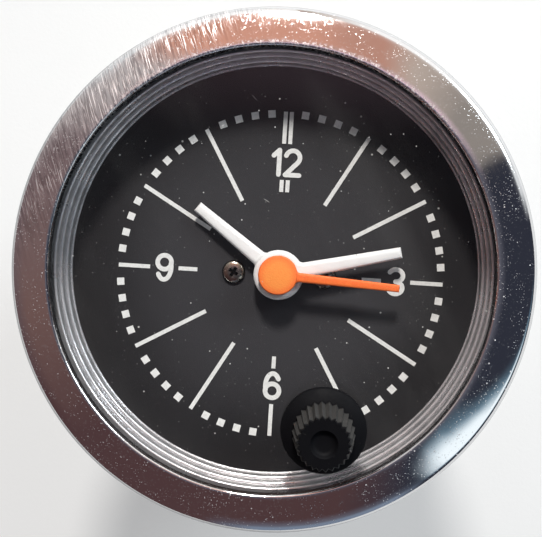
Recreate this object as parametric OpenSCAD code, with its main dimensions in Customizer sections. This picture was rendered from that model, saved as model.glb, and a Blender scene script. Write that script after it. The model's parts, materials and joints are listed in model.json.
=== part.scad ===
// Car dashboard clock in a round case for a 52 mm instrument hole.
// The origin is on the case axis, in the plane of the panel's face.
// +Z leaves the dial towards the driver, +Y is 12 o'clock and +X is 3 o'clock.

/* [Bezel and crystal] */
// Reach of the bezel past the case, all round
bezel_overhang = 4; // [3.6:0.1:6]
// Reach of the bezel's front lip in from the outside of the case
lip_inset = 0.7; // [0.5:0.1:2]
// Height of the bezel's front lip above the crystal
lip_h = 1.2; // [0.9:0.1:2]
// Fall of the bezel's face from its lip to its rim
face_fall = 0.5; // [0.2:0.1:0.7]
// Radius of the bezel's rounded rim
rim_r = 0.9; // [0.4:0.1:1.2]
// Radius of the edge behind the rim
back_edge_r = 0.5; // [0.2:0.1:0.8]
// Thickness of the lip that is rolled in behind the case flange
crimp_t = 0.6; // [0.4:0.1:1]
// Thickness of the crystal
crystal_t = 2; // [1.5:0.1:3]
// Thickness of the gasket under the crystal
gasket_t = 0.6; // [0.4:0.1:1]
// Width of the gasket
gasket_w = 2.2; // [1.4:0.1:2.4]

/* [Case] */
// Outside diameter of the case
case_d = 52; // [47:0.1:60]
// Sheet thickness of the case
case_t = 0.4; // [0.3:0.05:0.6]
// Width of the flange at the mouth of the case
flange_w = 2.3; // [1.8:0.1:2.6]
// Outward bend of the case below its flange
flange_bend = 0.3; // [0.2:0.05:0.5]
// Width of the lip rolled in at the rear of the case
rear_lip_w = 1; // [0.6:0.1:1.2]
// Bevel on the rear edge of the case
rear_bevel = 0.3; // [0.1:0.05:0.35]
// Thickness of the rear cover
cover_t = 1; // [0.8:0.1:2]
// Clearance between pieces that drop into each other
fit_gap = 0.1; // [0.05:0.01:0.15]

/* [Reflector ring and dial] */
// Thickness of the reflector ring at its top edge
ring_top_t = 0.2; // [0.15:0.05:0.4]
// Number of steps down the reflector ring
ring_steps = 3; // [2:1:4]
// Width of the ledge below each step of the reflector ring
ring_ledge = 0.12; // [0.06:0.02:0.16]
// Width of the reflector ring where it meets the dial
ring_base_w = 1; // [0.9:0.05:1.6]
// Thickness of the dial
dial_t = 0.8; // [0.5:0.1:1.2]
// Movement and dial print to the right of the case axis
movement_x = 0.8; // [-1:0.05:1]
// Movement and dial print above the case axis
movement_y = -0.5; // [-1:0.05:1]
// Head diameter of the dial screws
dial_screw_head_d = 2.8; // [2:0.1:3]
// Head height of the dial screws
dial_screw_head_h = 0.6; // [0.4:0.1:0.8]
// Thread diameter of the dial screws
dial_screw_d = 1.4; // [1:0.1:1.6]
// Distance of the dial screws from the hands' axis
dial_screw_x = 5.5; // [5:0.1:7]

/* [Dial print] */
// Thickness of the printed ink
ink_t = 0.06; // [0.04:0.01:0.1]
// Radius of the ring of minute squares
minute_ring_r = 19.35; // [17:0.05:20]
// Side of each minute square
minute_square = 0.88; // [0.6:0.02:1.2]
// Width of the hour lines
hour_line_w = 0.48; // [0.3:0.02:0.8]
// Radius at the inner ends of the hour lines
hour_line_in_r = 9.95; // [8:0.05:11]
// Radius at the outer ends of the hour lines
hour_line_out_r = 19.6; // [18:0.1:20.5]
// Radius at which the outer line past a numeral starts
numeral_out_r = 15.75; // [15.6:0.05:17]
// Radius at which the inner line before 12 and 6 ends
upright_in_r = 11.4; // [11:0.05:11.5]
// Radius at which the inner line before 3 and 9 ends
side_in_r = 12.25; // [11:0.05:12.4]
// Distance between the two lines at 12 o'clock
twelve_line_gap = 0.72; // [0.6:0.02:1.2]
// Radius at the middle of the numerals 12 and 6
upright_r = 13.5; // [13.4:0.05:13.7]
// Radius at the middle of the numerals 3 and 9
side_r = 14; // [13.7:0.05:14.3]
// Height of the numerals
numeral_h = 3.5; // [2.8:0.1:3.6]
// Width of the numerals
numeral_w = 2.25; // [1.8:0.05:2.4]
// Distance between the middles of the two figures of 12
twelve_pitch = 1.64; // [1.5:0.02:2]
// Stroke width of the numerals
numeral_stroke = 0.56; // [0.4:0.02:0.65]

/* [Hands] */
// Space between the dial and the hour hand
hour_lift = 1; // [1:0.1:1.6]
// Thickness of the hour and minute hands
hand_t = 0.7; // [0.5:0.1:1]
// Space between one hand and the next
hand_gap = 0.3; // [0.2:0.05:0.6]
// Thickness of the second hand
second_t = 0.6; // [0.4:0.1:0.9]
// Rise of the second hand's cap above its blade
cap_rise = 0.25; // [0.1:0.05:0.5]
// Space between the second hand's cap and the crystal
crystal_gap = 0.3; // [0.2:0.05:1]
// Length of the hour hand from the hands' axis
hour_len = 12.7; // [10:0.1:16]
// Length of the minute hand from the hands' axis
minute_len = 14.7; // [12:0.1:19]
// Length of the second hand from the hands' axis
second_len = 14.2; // [12:0.1:19]
// Width of the hour and minute hands at the hub
hand_root_w = 1.85; // [0.8:0.05:2.2]
// Width of the hour and minute hands at the tip
hand_tip_w = 1.3; // [0.8:0.05:1.8]
// Width of the second hand at the cap
second_root_w = 1.1; // [0.6:0.05:1.2]
// Width of the second hand at the tip
second_tip_w = 0.85; // [0.4:0.05:1.2]
// Diameter of the hub of the hour and minute hands
hub_d = 5.9; // [5:0.1:7]
// Diameter of the second hand's cap
cap_d = 4.6; // [3:0.1:6]
// Hour hand's place, in degrees clockwise from 12
hour_angle = 306.5; // [0:0.5:360]
// Minute hand's place, in degrees clockwise from 12
minute_angle = 76.2; // [0:0.1:360]
// Second hand's place, in degrees clockwise from 12
second_angle = 92.8; // [0:0.1:360]

/* [Setting knob and stem] */
// Distance of the knob from the hands' axis
knob_r = 17.8; // [16:0.1:19]
// Knob's place, in degrees clockwise from 12
knob_angle = 159.2; // [157:0.1:164]
// Diameter of the knob's flange
knob_flange_d = 9.6; // [8.6:0.1:11]
// Thickness of the knob's flange at its edge
knob_flange_t = 0.8; // [0.6:0.1:1.6]
// Rise of the flange's sloping top up to the grip
flange_rise = 0.9; // [0.4:0.1:1.5]
// Diameter of the knob's grip at the flange
grip_root_d = 7; // [6.4:0.1:8.4]
// Diameter of the knob's grip at its top
grip_top_d = 5.8; // [5.4:0.1:8]
// Height of the knob's grip
grip_h = 5.8; // [5:0.1:10]
// Number of flutes on the grip
flutes = 26; // [20:1:30]
// Depth of each flute
flute_depth = 0.36; // [0.2:0.02:0.4]
// Diameter of the dimple in the knob's top
dimple_d = 2.7; // [2:0.1:4]
// Depth of the dimple
dimple_h = 0.5; // [0.2:0.1:0.8]
// Space left under the knob when it is pushed in
knob_gap = 0.8; // [0.7:0.1:1.5]
// Diameter of the setting stem
stem_d = 2.4; // [2:0.1:2.6]
// Length of stem held in the knob
stem_grip = 5; // [3:0.1:5.4]
// Wall of the grommet round the stem
grommet_wall = 0.8; // [0.6:0.05:1.2]
// Thickness and overhang of the grommet's flanges
grommet_flange = 0.5; // [0.3:0.05:0.55]
// Thickness of the retaining clip and of the washer below it
clip_t = 0.5; // [0.3:0.05:0.8]
// Outside diameter of the clip and the washer
clip_d = 4.6; // [4:0.1:5.2]
// Depth of the clip's groove in the stem
groove_depth = 0.35; // [0.2:0.05:0.5]
// Wire diameter of the return spring
spring_wire = 0.4; // [0.3:0.02:0.5]
// Turns of the return spring
spring_turns = 6; // [4:1:7]
// Radial space between the stem and the return spring
spring_gap = 0.35; // [0.2:0.05:0.5]

/* [Movement plates] */
// Space between the movement's plates and the inside of the case
plate_inset = 2.1; // [1.4:0.1:2.8]
// Thickness of the three plates
plate_t = 1.2; // [1:0.1:2]
// Distance of the pillars from the edge of the plates
pillar_inset = 2.1; // [1.9:0.05:2.8]
// Diameter of the pillars
pillar_d = 3.6; // [3.2:0.1:4]
// Diameter of the screws and necks in the pillars
pillar_screw_d = 2; // [1.6:0.1:2.2]
// Length of thread that each screw and neck has in a pillar
pillar_thread = 2.2; // [1.5:0.1:2.2]
// Head diameter of the pillar screws
pillar_screw_head_d = 3.4; // [3:0.1:4]
// Depth of the countersunk heads under the dial
countersink = 0.7; // [0.5:0.05:0.9]
// Head height of the rear cover's screws
cover_screw_head_h = 1.2; // [0.8:0.1:2]

/* [Motion work] */
// Leaves of the cannon pinion and of the setting pinion
cannon_teeth = 12; // [11:1:14]
// Leaves of the minute pinion
minute_pinion_teeth = 10; // [9:1:12]
// Thickness of every wheel
wheel_t = 1; // [0.8:0.05:1.4]
// Thickness of the setting pinion
setting_pinion_t = 1.2; // [1:0.05:1.5]
// Space left between the setting pinion and the minute wheel when the knob is out
setting_gap = 0.3; // [0.2:0.05:0.5]
// Space between one level of wheels and the next
level_gap = 1.1; // [0.9:0.05:1.6]
// Space between the wheels and the plates
plate_gap = 0.8; // [0.7:0.05:1.2]
// Running clearance on radius
run_gap = 0.05; // [0.03:0.01:0.08]
// Diameter of the seconds arbor and the other train arbors
arbor_d = 1; // [0.8:0.05:1.2]
// Wall of each tube round the seconds arbor
tube_wall = 0.42; // [0.3:0.02:0.48]
// Diameter of the minute wheel's arbor
minute_arbor_d = 1.6; // [1.2:0.1:2]
// Thickness of the clutch washer
clutch_t = 0.5; // [0.3:0.05:0.6]
// Amount by which each gear tooth is thinned
tooth_thinning = 0.035; // [0.02:0.005:0.06]

/* [Going train] */
// Leaves of the seconds, third, intermediate and rotor pinions
train_pinion_teeth = 10; // [8:2:12]
// Distance of the third and intermediate wheels from the hands' axis
train_r = 8.4; // [7.6:0.05:9.4]
// Distance of the rotor from the intermediate wheel
rotor_r = 7.6; // [6.9:0.05:8.4]
// Direction of the third wheel from the hands' axis, anticlockwise from 3 o'clock
third_angle = 60; // [45:1:80]
// Direction of the intermediate wheel from the hands' axis
intermediate_angle = 180; // [172:1:190]
// Direction of the rotor from the intermediate wheel
rotor_angle = 295; // [290:1:296]
// Depth to which arbors run in the plates
pivot_depth = 0.8; // [0.5:0.05:0.95]

/* [Motor] */
// Diameter of the rotor's magnet
magnet_d = 5; // [4:0.1:5.6]
// Air gap round the magnet
air_gap = 0.3; // [0.2:0.05:0.5]
// Thickness of the stator and of the coil's core
stator_t = 1; // [0.8:0.05:1.2]
// Least width of the stator beside the rotor
stator_wall = 0.7; // [0.5:0.05:1.2]
// Space between the coil's bobbin and the stator's arms
bobbin_gap = 0.4; // [0.2:0.05:1]
// Width of the stator's arms and of the coil's core
arm_w = 3; // [2.4:0.1:3.2]
// Distance from the rotor to the coil's axis
coil_offset = 7.4; // [7.2:0.05:7.6]
// Length of the coil's bobbin
bobbin_len = 9.2; // [8:0.1:9.4]
// Diameter of the bobbin's flanges
bobbin_d = 4.8; // [4.4:0.1:4.9]
// Thickness of the bobbin's flanges
bobbin_flange_t = 0.6; // [0.4:0.05:1]
// Thickness of the bobbin's barrel round the core
bobbin_wall = 0.35; // [0.2:0.05:0.4]
// Diameter of the stator's screws
stator_screw_d = 1.4; // [1:0.1:1.6]
// Head diameter of the stator's screws
stator_screw_head_d = 2.6; // [2:0.1:2.8]
// Head height of the stator's screws
stator_screw_head_h = 0.8; // [0.5:0.1:1]

/* [Circuit board] */
// Thickness of the circuit board
board_t = 1.6; // [1:0.1:2]
// Space between the back plate and the circuit board
board_gap = 3.6; // [3.4:0.1:5]
// Space between the circuit board and the rear cover
rear_gap = 5.5; // [5.3:0.1:8]
// Outside diameter of the spacers
spacer_d = 3.6; // [3.2:0.1:4]
// Length of the clock chip
chip_l = 9; // [7:0.1:10]
// Width of the clock chip
chip_w = 6.2; // [4:0.1:7]
// Height of the clock chip above the board
chip_h = 3; // [1.5:0.1:3.2]
// Diameter of the quartz crystal's can
quartz_d = 3; // [2:0.1:3.1]
// Length of the quartz crystal's can
quartz_l = 8; // [6:0.1:9]
// Diameter of the capacitor
capacitor_d = 5; // [4:0.1:6]
// Height of the capacitor
capacitor_h = 4.8; // [3:0.1:5]

/* [Rear fittings] */
// Reach of the studs, blades and lamp contact behind the rear cover
rear_reach = 13; // [12.5:0.1:18]
// Diameter of the circle through the mounting studs
stud_circle_d = 34; // [31:0.1:38]
// Diameter of the mounting studs where they pass through the cover
stud_d = 5; // [4.6:0.1:6]
// Diameter of the studs' free ends
stud_end_d = 4; // [3.4:0.1:4.5]
// Diameter of the studs' heads inside the cover
stud_head_d = 7.2; // [6.8:0.1:8]
// Thickness of the studs' heads
stud_head_t = 1; // [0.6:0.1:1.4]
// Width across flats of the stud nuts
nut_flats = 8; // [7.4:0.1:9]
// Height of the stud nuts
nut_h = 3; // [2:0.1:4]
// Diameter of the studs' washers
washer_d = 9; // [8.6:0.1:10]
// Thickness of the studs' washers
washer_t = 0.8; // [0.4:0.1:1.2]
// Width of the terminal block
block_w = 19; // [18:0.1:20]
// Depth of the terminal block up and down the cover
block_h = 9; // [8.4:0.1:9.4]
// Thickness of the terminal block outside the cover
block_t = 3; // [2:0.1:5]
// Distance of the terminal block below the case axis
block_y = 14; // [13.6:0.1:14.4]
// Width of the terminal blades
blade_w = 6.3; // [4.8:0.1:6.6]
// Thickness of the terminal blades
blade_t = 0.8; // [0.5:0.1:1]
// Distance from one blade to the next
blade_pitch = 6; // [5:0.1:6.4]
// Wall of the terminal block's spigot round the blades
spigot_wall = 1; // [0.6:0.1:1]

/* [Lamp] */
// Space between the lamp holder's flange and the rear lip of the case
lamp_edge = 0.5; // [0.3:0.1:1.5]
// Direction of the lamp from the case axis, anticlockwise from 3 o'clock
lamp_angle = 135; // [133:1:140]
// Diameter of the bulb's cap
bulb_cap_d = 7; // [6:0.1:7.2]
// Length of the bulb's cap
bulb_cap_l = 11; // [8:0.1:12]
// Diameter of the bulb's glass
bulb_glass_d = 6.2; // [5:0.1:6.8]
// Length of the bulb's glass
bulb_glass_l = 13; // [8:0.1:14]
// Wall of the lamp holder
holder_wall = 1; // [0.7:0.1:1.2]
// Length of the lamp holder outside the cover
holder_l = 10; // [9:0.1:11.5]
// Overhang of the lamp holder's flange
holder_flange_w = 0.9; // [0.6:0.1:1]
// Thickness of the lamp holder's flange
holder_flange_t = 1.2; // [0.8:0.1:2]
// Thickness of the lamp holder's floor
holder_floor_t = 2; // [1.2:0.1:3]
// Thickness of the finger wings on the lamp holder
wing_t = 1.6; // [1:0.1:2]
// Width of the lamp contact's tab
tab_w = 4.8; // [4:0.1:5]
// Thickness of the lamp contact's tab
tab_t = 0.8; // [0.5:0.1:1]
// Space round the bulb in the movement's plates
lamp_gap = 0.9; // [0.5:0.1:1.1]

/* [Hidden] */
$fn = 64;

// Clearance of pieces that are pressed or screwed together
press_gap = 0.01;
// Clearance along an axis between pieces that turn against each other
end_gap = 0.05;
// How far a cutting shape runs past what it cuts
cut = 1;

// Radii of the case and what it holds
case_r = case_d / 2;
bezel_r = case_r + bezel_overhang;
lip_r = case_r - lip_inset;
bore_r = case_r - case_t;
flange_r = case_r + flange_w;
crimp_in_r = case_r + flange_bend + fit_gap;
ring_r = bore_r - fit_gap;
dial_r = bore_r - fit_gap;
cover_r = bore_r - fit_gap;
rear_lip_r = bore_r - rear_lip_w;
plate_r = bore_r - plate_inset;
pillar_ring_r = plate_r - pillar_inset;

// Heights in front of the panel, from the rolled lip up to the knob
flange_z = crimp_t;
gasket_z = flange_z + case_t;
crystal_z = gasket_z + gasket_t;
crystal_top = crystal_z + crystal_t;
bezel_top = crystal_top + lip_h;

// Heights of the hands, from the crystal down to the dial
second_top = crystal_z - crystal_gap - cap_rise;
second_z = second_top - second_t;
minute_z = second_z - hand_gap - hand_t;
hour_z = minute_z - hand_gap - hand_t;
dial_top = hour_z - hour_lift;

// Heights of the plates and wheels, from the dial down to the rear ends
front_top = dial_top - dial_t;
front_z = front_top - plate_t;
hour_wheel_z = front_z - plate_gap - wheel_t;
minute_wheel_z = hour_wheel_z - level_gap - wheel_t;
middle_top = minute_wheel_z - plate_gap;
middle_z = middle_top - plate_t;
centre_wheel_z = middle_z - plate_gap - wheel_t;
third_wheel_z = centre_wheel_z - level_gap - wheel_t;
seconds_wheel_z = third_wheel_z - level_gap - wheel_t;
intermediate_wheel_z = seconds_wheel_z - level_gap - wheel_t;
back_top = intermediate_wheel_z - plate_gap - stator_t;
back_z = back_top - plate_t;
board_top = back_z - board_gap;
board_z = board_top - board_t;
cover_top = board_z - rear_gap;
cover_z = cover_top - cover_t;
case_z = cover_z - case_t;
rear_z = cover_z - rear_reach;

// Radii of the tubes round the seconds arbor, each running in the next
arbor_r = arbor_d / 2;
centre_in_r = arbor_r + run_gap;
centre_r = centre_in_r + tube_wall;
cannon_in_r = centre_r + run_gap;
cannon_r = cannon_in_r + tube_wall;
hour_in_r = cannon_r + run_gap;
hour_r = hour_in_r + tube_wall;
hour_hole_r = hour_r + run_gap;
minute_arbor_r = minute_arbor_d / 2;

// Gear sizes: the wheels turn the minute hand once an hour and the hour hand once in 12 hours,
// and the motion work spans the distance from the hands to the knob
pressure = 20;
addendum = 0.9;
dedendum = 1.25;
least_teeth = 17;
minute_wheel_teeth = 3 * cannon_teeth;
hour_wheel_teeth = 4 * minute_pinion_teeth;
third_wheel_teeth = 8 * train_pinion_teeth;
centre_wheel_teeth = 7.5 * train_pinion_teeth;
seconds_wheel_teeth = 6 * train_pinion_teeth;
intermediate_wheel_teeth = 5 * train_pinion_teeth;
motion_distance = knob_r / 2;
motion_module = 2 * motion_distance / (cannon_teeth + minute_wheel_teeth);
hour_module = 2 * motion_distance / (minute_pinion_teeth + hour_wheel_teeth);
third_module = 2 * train_r / (train_pinion_teeth + third_wheel_teeth);
centre_module = 2 * train_r / (train_pinion_teeth + centre_wheel_teeth);
seconds_module = 2 * train_r / (train_pinion_teeth + seconds_wheel_teeth);
rotor_module = 2 * rotor_r / (train_pinion_teeth + intermediate_wheel_teeth);

// Places of the axes in the movement, measured from the hands' axis
hands_at = [0, 0];
knob_at = clock_xy(knob_r, knob_angle);
minute_wheel_at = clock_xy(motion_distance, knob_angle);
third_at = polar(train_r, third_angle);
intermediate_at = polar(train_r, intermediate_angle);
rotor_at = intermediate_at + polar(rotor_r, rotor_angle);
pillar_angles = [45, 200, 310];
coil_at = rotor_at - [0, coil_offset];
stator_len = bobbin_len + 2 * (bobbin_gap + arm_w);
stator_w = magnet_d + 2 * (air_gap + stator_wall);
stator_screw_x = (stator_len - arm_w) / 2;
dial_screw_places = [[-dial_screw_x, 0], [dial_screw_x, 0]];

// Places of the circuit board's parts, measured from the hands' axis
chip_at = [7, 6];
quartz_at = [0, -4.7];
capacitor_at = [9.4, 6];

// Places of the rear fittings, measured from the case axis
movement_at = [movement_x, movement_y];
nut_z = cover_z - washer_t - nut_h;
stud_places = [[-stud_circle_d / 2, 0], [stud_circle_d / 2, 0]];
blade_places = [for (i = [-1, 0, 1]) [i * blade_pitch, -block_y]];

// Setting stem, from the knob down to its pilot in the back plate
stem_r = stem_d / 2;
push_travel = (wheel_t + setting_pinion_t) / 2 + setting_gap;
knob_z = crystal_top + push_travel + knob_gap;
cone_z = knob_z + knob_flange_t;
grip_z = cone_z + flange_rise;
knob_top = grip_z + grip_h;
stem_top = knob_z + stem_grip;
stem_z = back_top - pivot_depth / 2;
setting_pinion_z = minute_wheel_z + (wheel_t - setting_pinion_t) / 2 + push_travel;
clip_top = middle_z - end_gap;
clip_z = clip_top - clip_t;
washer_top = clip_z - end_gap;
washer_z = washer_top - clip_t;
spring_r = stem_r + spring_gap + spring_wire / 2;

// Dial light
bulb_cap_r = bulb_cap_d / 2;
bulb_glass_r = bulb_glass_d / 2;
holder_in_r = bulb_cap_r + fit_gap;
holder_r = holder_in_r + holder_wall;
collar_r = holder_r + holder_flange_w;
lamp_at = polar(rear_lip_r - collar_r - lamp_edge, lamp_angle);
holder_z = cover_z - holder_l;
contact_z = holder_z + holder_floor_t;
contact_t = 0.8;
bulb_cap_z = contact_z + contact_t + end_gap;
bulb_glass_z = bulb_cap_z + bulb_cap_l;
lamp_hole_r = max(bulb_cap_r, bulb_glass_r) + lamp_gap;

// Height of the coil's axis, and radius of the barrel that clears the core's corners
coil_z = back_top + 1.5 * stator_t;
barrel_r = norm([arm_w, stator_t]) / 2 + bobbin_wall;

// Steps in each turn of the return spring, and sides of its wire
turn_steps = 12;
wire_sides = 6;

// A point at a clock angle, which runs clockwise from 12
function clock_xy(r, a) = [r * sin(a), r * cos(a)];

// A point at an angle that runs anticlockwise from +X
function polar(r, a) = [r * cos(a), r * sin(a)];

// Direction from one point to another
function heading(from, to) = atan2(to.y - from.y, to.x - from.x);

// Angle that an involute has opened, in degrees, where it reaches a radius
function involute(base_r, r) =
    let (a = acos(min(1, base_r / r)))
    tan(a) * 180 / PI - a;

// Profile shift that keeps a small pinion's leaves from being undercut
function pinion_shift(teeth) = (least_teeth - teeth) / least_teeth;

// Outline of an involute gear with one tooth at the angle turn
function gear_points(teeth, size, shift, turn) =
    let (
        pitch_r = size * teeth / 2,
        base_r = pitch_r * cos(pressure),
        tip_r = pitch_r + size * (addendum + shift),
        root_r = pitch_r - size * (dedendum - shift),
        thick = (90 + 2 * shift * tan(pressure) * 180 / PI) / teeth,
        thin = tooth_thinning / 2 / pitch_r * 180 / PI,
        half = thick - thin + involute(base_r, pitch_r),
        start_r = max(root_r, base_r),
        flank = [start_r, (start_r + tip_r) / 2, tip_r],
        radii = root_r < base_r ? concat([root_r], flank) : flank,
        last = len(radii) - 1
    )
    [for (i = [0 : teeth - 1]) let (a = turn + i * 360 / teeth)
        each concat(
            [for (r = radii) polar(r, a - half + involute(base_r, max(r, base_r)))],
            [for (k = [last : -1 : 0]) let (r = radii[k])
                polar(r, a + half - involute(base_r, max(r, base_r)))]
        )];

// A gear standing on z, with lightening holes where it is a wheel
module gear(teeth, size, shift, turn, z, t, bore = 0, holes = 0) {
    hole_ring = size * teeth / 4;
    translate([0, 0, z])
    linear_extrude(t)
    difference() {
        polygon(gear_points(teeth, size, shift, turn));
        if (bore > 0) circle(bore);
        if (holes > 0)
            for (i = [0 : holes - 1])
                translate(polar(hole_ring, 45 + i * 360 / holes)) circle(hole_ring * 0.36);
    }
}

// A round bar between two heights
module bar(r, z0, z1) {
    translate([0, 0, z0]) cylinder(r = r, h = z1 - z0);
}

// A tube between two heights
module tube(r_in, r_out, z0, z1) {
    difference() {
        bar(r_out, z0, z1);
        bar(r_in, z0 - cut, z1 + cut);
    }
}

// Moves its children to the movement's own axis
module in_movement() {
    translate(movement_at) children();
}

// Places its children at each pillar
module at_pillars() {
    in_movement()
    for (a = pillar_angles) translate(polar(pillar_ring_r, a)) children();
}

// Bar for cutting the lamp's opening through the plates
module lamp_opening() {
    translate(lamp_at) bar(lamp_hole_r, cover_top, front_top + cut);
}

// A movement plate with its lamp opening; the children are cut from it
module plate(z) {
    difference() {
        in_movement() bar(plate_r, z, z + plate_t);
        lamp_opening();
        children();
    }
}

// A hole through everything from the dial to the cover, at a place in the movement
module drill(place, r) {
    in_movement() translate(place) bar(r, cover_top, dial_top + cut);
}

// A cross-shaped driver recess that opens at the height z
module cross_recess(width, depth, z) {
    arm = width / 3.5;
    translate([0, 0, z - depth / 2 + cut / 2]) {
        cube([width, arm, depth + cut], center = true);
        cube([arm, width, depth + cut], center = true);
    }
}

module bezel() {
    hollow_r = flange_r + fit_gap;
    rim_z = bezel_top - face_fall - rim_r;
    lip_round = lip_h / 4;
    rim = [for (a = [0 : 15 : 90]) [bezel_r - rim_r, rim_z] + polar(rim_r, a)];
    back = [for (a = [-90 : 30 : 0]) [bezel_r - back_edge_r, back_edge_r] + polar(back_edge_r, a)];
    lip = [for (a = [90 : 30 : 180])
        [lip_r + lip_round, bezel_top - lip_round] + polar(lip_round, a)];
    color("silver")
    rotate_extrude()
    polygon(concat(
        [[crimp_in_r, crimp_t - press_gap], [crimp_in_r, 0]],
        back, rim, lip,
        [[lip_r, crystal_top], [hollow_r, crystal_top], [hollow_r, crimp_t - press_gap]]
    ));
}

module crystal() {
    hole_r = stem_r + run_gap + grommet_wall + fit_gap;
    color("lightcyan", 0.3)
    difference() {
        bar(flange_r, crystal_z, crystal_top);
        in_movement() translate(knob_at) bar(hole_r, crystal_z - cut, crystal_top + cut);
    }
}

module crystal_gasket() {
    color("black")
    tube(flange_r - gasket_w, flange_r, gasket_z, crystal_z);
}

module reflector_ring() {
    seat_r = flange_r - gasket_w - fit_gap;
    step_h = (crystal_z - dial_top) / ring_steps;
    step_w = (ring_base_w - ring_top_t + ring_ledge) / ring_steps;
    steps = [for (i = [0 : ring_steps - 1])
        let (r = ring_r - ring_top_t - i * step_w, z = crystal_z - i * step_h)
        each [[r, z], [r - step_w + ring_ledge, z - step_h]]];
    color("gainsboro")
    rotate_extrude()
    polygon(concat(
        [[ring_r, dial_top], [ring_r, gasket_z], [seat_r, gasket_z], [seat_r, crystal_z]],
        steps
    ));
}

module case_can() {
    bend_r = case_r + flange_bend;
    color("dimgray")
    rotate_extrude()
    polygon([
        [rear_lip_r, case_z],
        [case_r - rear_bevel, case_z],
        [case_r, case_z + rear_bevel],
        [case_r, 0],
        [bend_r, flange_z],
        [flange_r, flange_z],
        [flange_r, gasket_z],
        [bore_r, gasket_z],
        [bore_r, cover_z],
        [rear_lip_r, cover_z]
    ]);
}

module rear_cover() {
    spigot_w = 2 * blade_pitch + blade_t + 2 * spigot_wall;
    spigot_h = blade_w + 2 * spigot_wall;
    color("darkslategray")
    difference() {
        bar(cover_r, cover_z, cover_top);
        for (p = stud_places) translate(p) bar(stud_d / 2 + press_gap, cover_z - cut, cover_top + cut);
        at_pillars() bar(pillar_screw_d / 2 + press_gap, cover_z - cut, cover_top + cut);
        translate(lamp_at) bar(holder_r + fit_gap, cover_z - cut, cover_top + cut);
        translate([0, -block_y, (cover_z + cover_top) / 2])
            cube([spigot_w + 2 * fit_gap, spigot_h + 2 * fit_gap, cover_t + 2 * cut], center = true);
    }
}

module rear_cover_screws() {
    recess = pillar_screw_head_d * 0.55;
    color("lightgray")
    at_pillars()
    difference() {
        union() {
            bar(pillar_screw_d / 2, cover_z, back_top + pillar_thread);
            bar(pillar_screw_head_d / 2, cover_z - cover_screw_head_h, cover_z);
        }
        mirror([0, 0, 1]) cross_recess(recess, cover_screw_head_h / 2, cover_screw_head_h - cover_z);
    }
}

module rear_spacers() {
    color("goldenrod")
    at_pillars() tube(pillar_screw_d / 2 + press_gap, spacer_d / 2, cover_top, board_z);
}

module board_spacers() {
    color("goldenrod")
    at_pillars() tube(pillar_screw_d / 2 + press_gap, spacer_d / 2, board_top, back_z);
}

module train_pillars() {
    hole_r = pillar_screw_d / 2 + press_gap;
    color("goldenrod")
    at_pillars()
    difference() {
        bar(pillar_d / 2, back_top, middle_z);
        bar(hole_r, back_top - cut, back_top + pillar_thread + press_gap);
        bar(hole_r, middle_z - pillar_thread - press_gap, middle_z + cut);
    }
}

module motion_pillars() {
    hole_r = pillar_screw_d / 2 + press_gap;
    color("goldenrod")
    at_pillars()
    difference() {
        union() {
            bar(pillar_d / 2, middle_top, front_z);
            bar(pillar_screw_d / 2, middle_z - pillar_thread, middle_top);
        }
        bar(hole_r, front_z - pillar_thread - press_gap, front_z + cut);
    }
}

module plate_screws() {
    recess = pillar_screw_head_d * 0.55;
    color("lightgray")
    at_pillars()
    difference() {
        union() {
            bar(pillar_screw_d / 2, front_z - pillar_thread, front_top - countersink);
            translate([0, 0, front_top - countersink])
                cylinder(r1 = pillar_screw_d / 2, r2 = pillar_screw_head_d / 2, h = countersink);
        }
        cross_recess(recess, countersink * 0.7, front_top);
    }
}

module front_plate() {
    color("burlywood")
    plate(front_z) {
        drill(hands_at, hour_hole_r);
        drill(minute_wheel_at, minute_arbor_r + run_gap);
        drill(knob_at, stem_r + run_gap);
        for (p = dial_screw_places) drill(p, dial_screw_d / 2 + press_gap);
        at_pillars() {
            bar(pillar_screw_d / 2 + press_gap, front_z - cut, front_top + cut);
            translate([0, 0, front_top - countersink])
                cylinder(
                    r1 = pillar_screw_d / 2 + press_gap,
                    r2 = pillar_screw_head_d / 2 + press_gap,
                    h = countersink
                );
        }
    }
}

module middle_plate() {
    color("burlywood")
    plate(middle_z) {
        drill(hands_at, centre_r + run_gap);
        drill(minute_wheel_at, minute_arbor_r + run_gap);
        drill(knob_at, stem_r + run_gap);
        for (p = [third_at, intermediate_at, rotor_at]) drill(p, arbor_r + run_gap);
        at_pillars() bar(pillar_screw_d / 2 + press_gap, middle_z - cut, middle_top + cut);
    }
}

module back_plate() {
    color("burlywood")
    plate(back_z) {
        for (p = [hands_at, third_at, intermediate_at, rotor_at]) drill(p, arbor_r + run_gap);
        drill(knob_at, stem_r + run_gap);
        for (i = [-1, 1]) drill(coil_at + [i * stator_screw_x, 0], stator_screw_d / 2 + press_gap);
        at_pillars() bar(pillar_screw_d / 2 + press_gap, back_z - cut, back_top + cut);
        in_movement()
            translate([coil_at.x, coil_at.y, back_z + plate_t / 2])
            cube([bobbin_len + 2 * fit_gap, bobbin_d + 2 * fit_gap, plate_t + 2 * cut], center = true);
    }
}

module dial() {
    color([0.07, 0.07, 0.07])
    difference() {
        bar(dial_r, front_top, dial_top);
        drill(hands_at, hour_hole_r + fit_gap);
        drill(knob_at, stem_r + run_gap + fit_gap);
        for (p = dial_screw_places) drill(p, dial_screw_d / 2 + fit_gap);
    }
}

// A printed line along a clock angle, between two radii, moved sideways by side
module dial_line(a, r0, r1, side = 0) {
    rotate(-a) translate([side - hour_line_w / 2, r0]) square([hour_line_w, r1 - r0]);
}

// Points along an arc
function arc(at, rx, ry, a0, a1, steps) =
    [for (i = [0 : steps]) let (a = a0 + (a1 - a0) * i / steps) at + [rx * cos(a), ry * sin(a)]];

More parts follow.
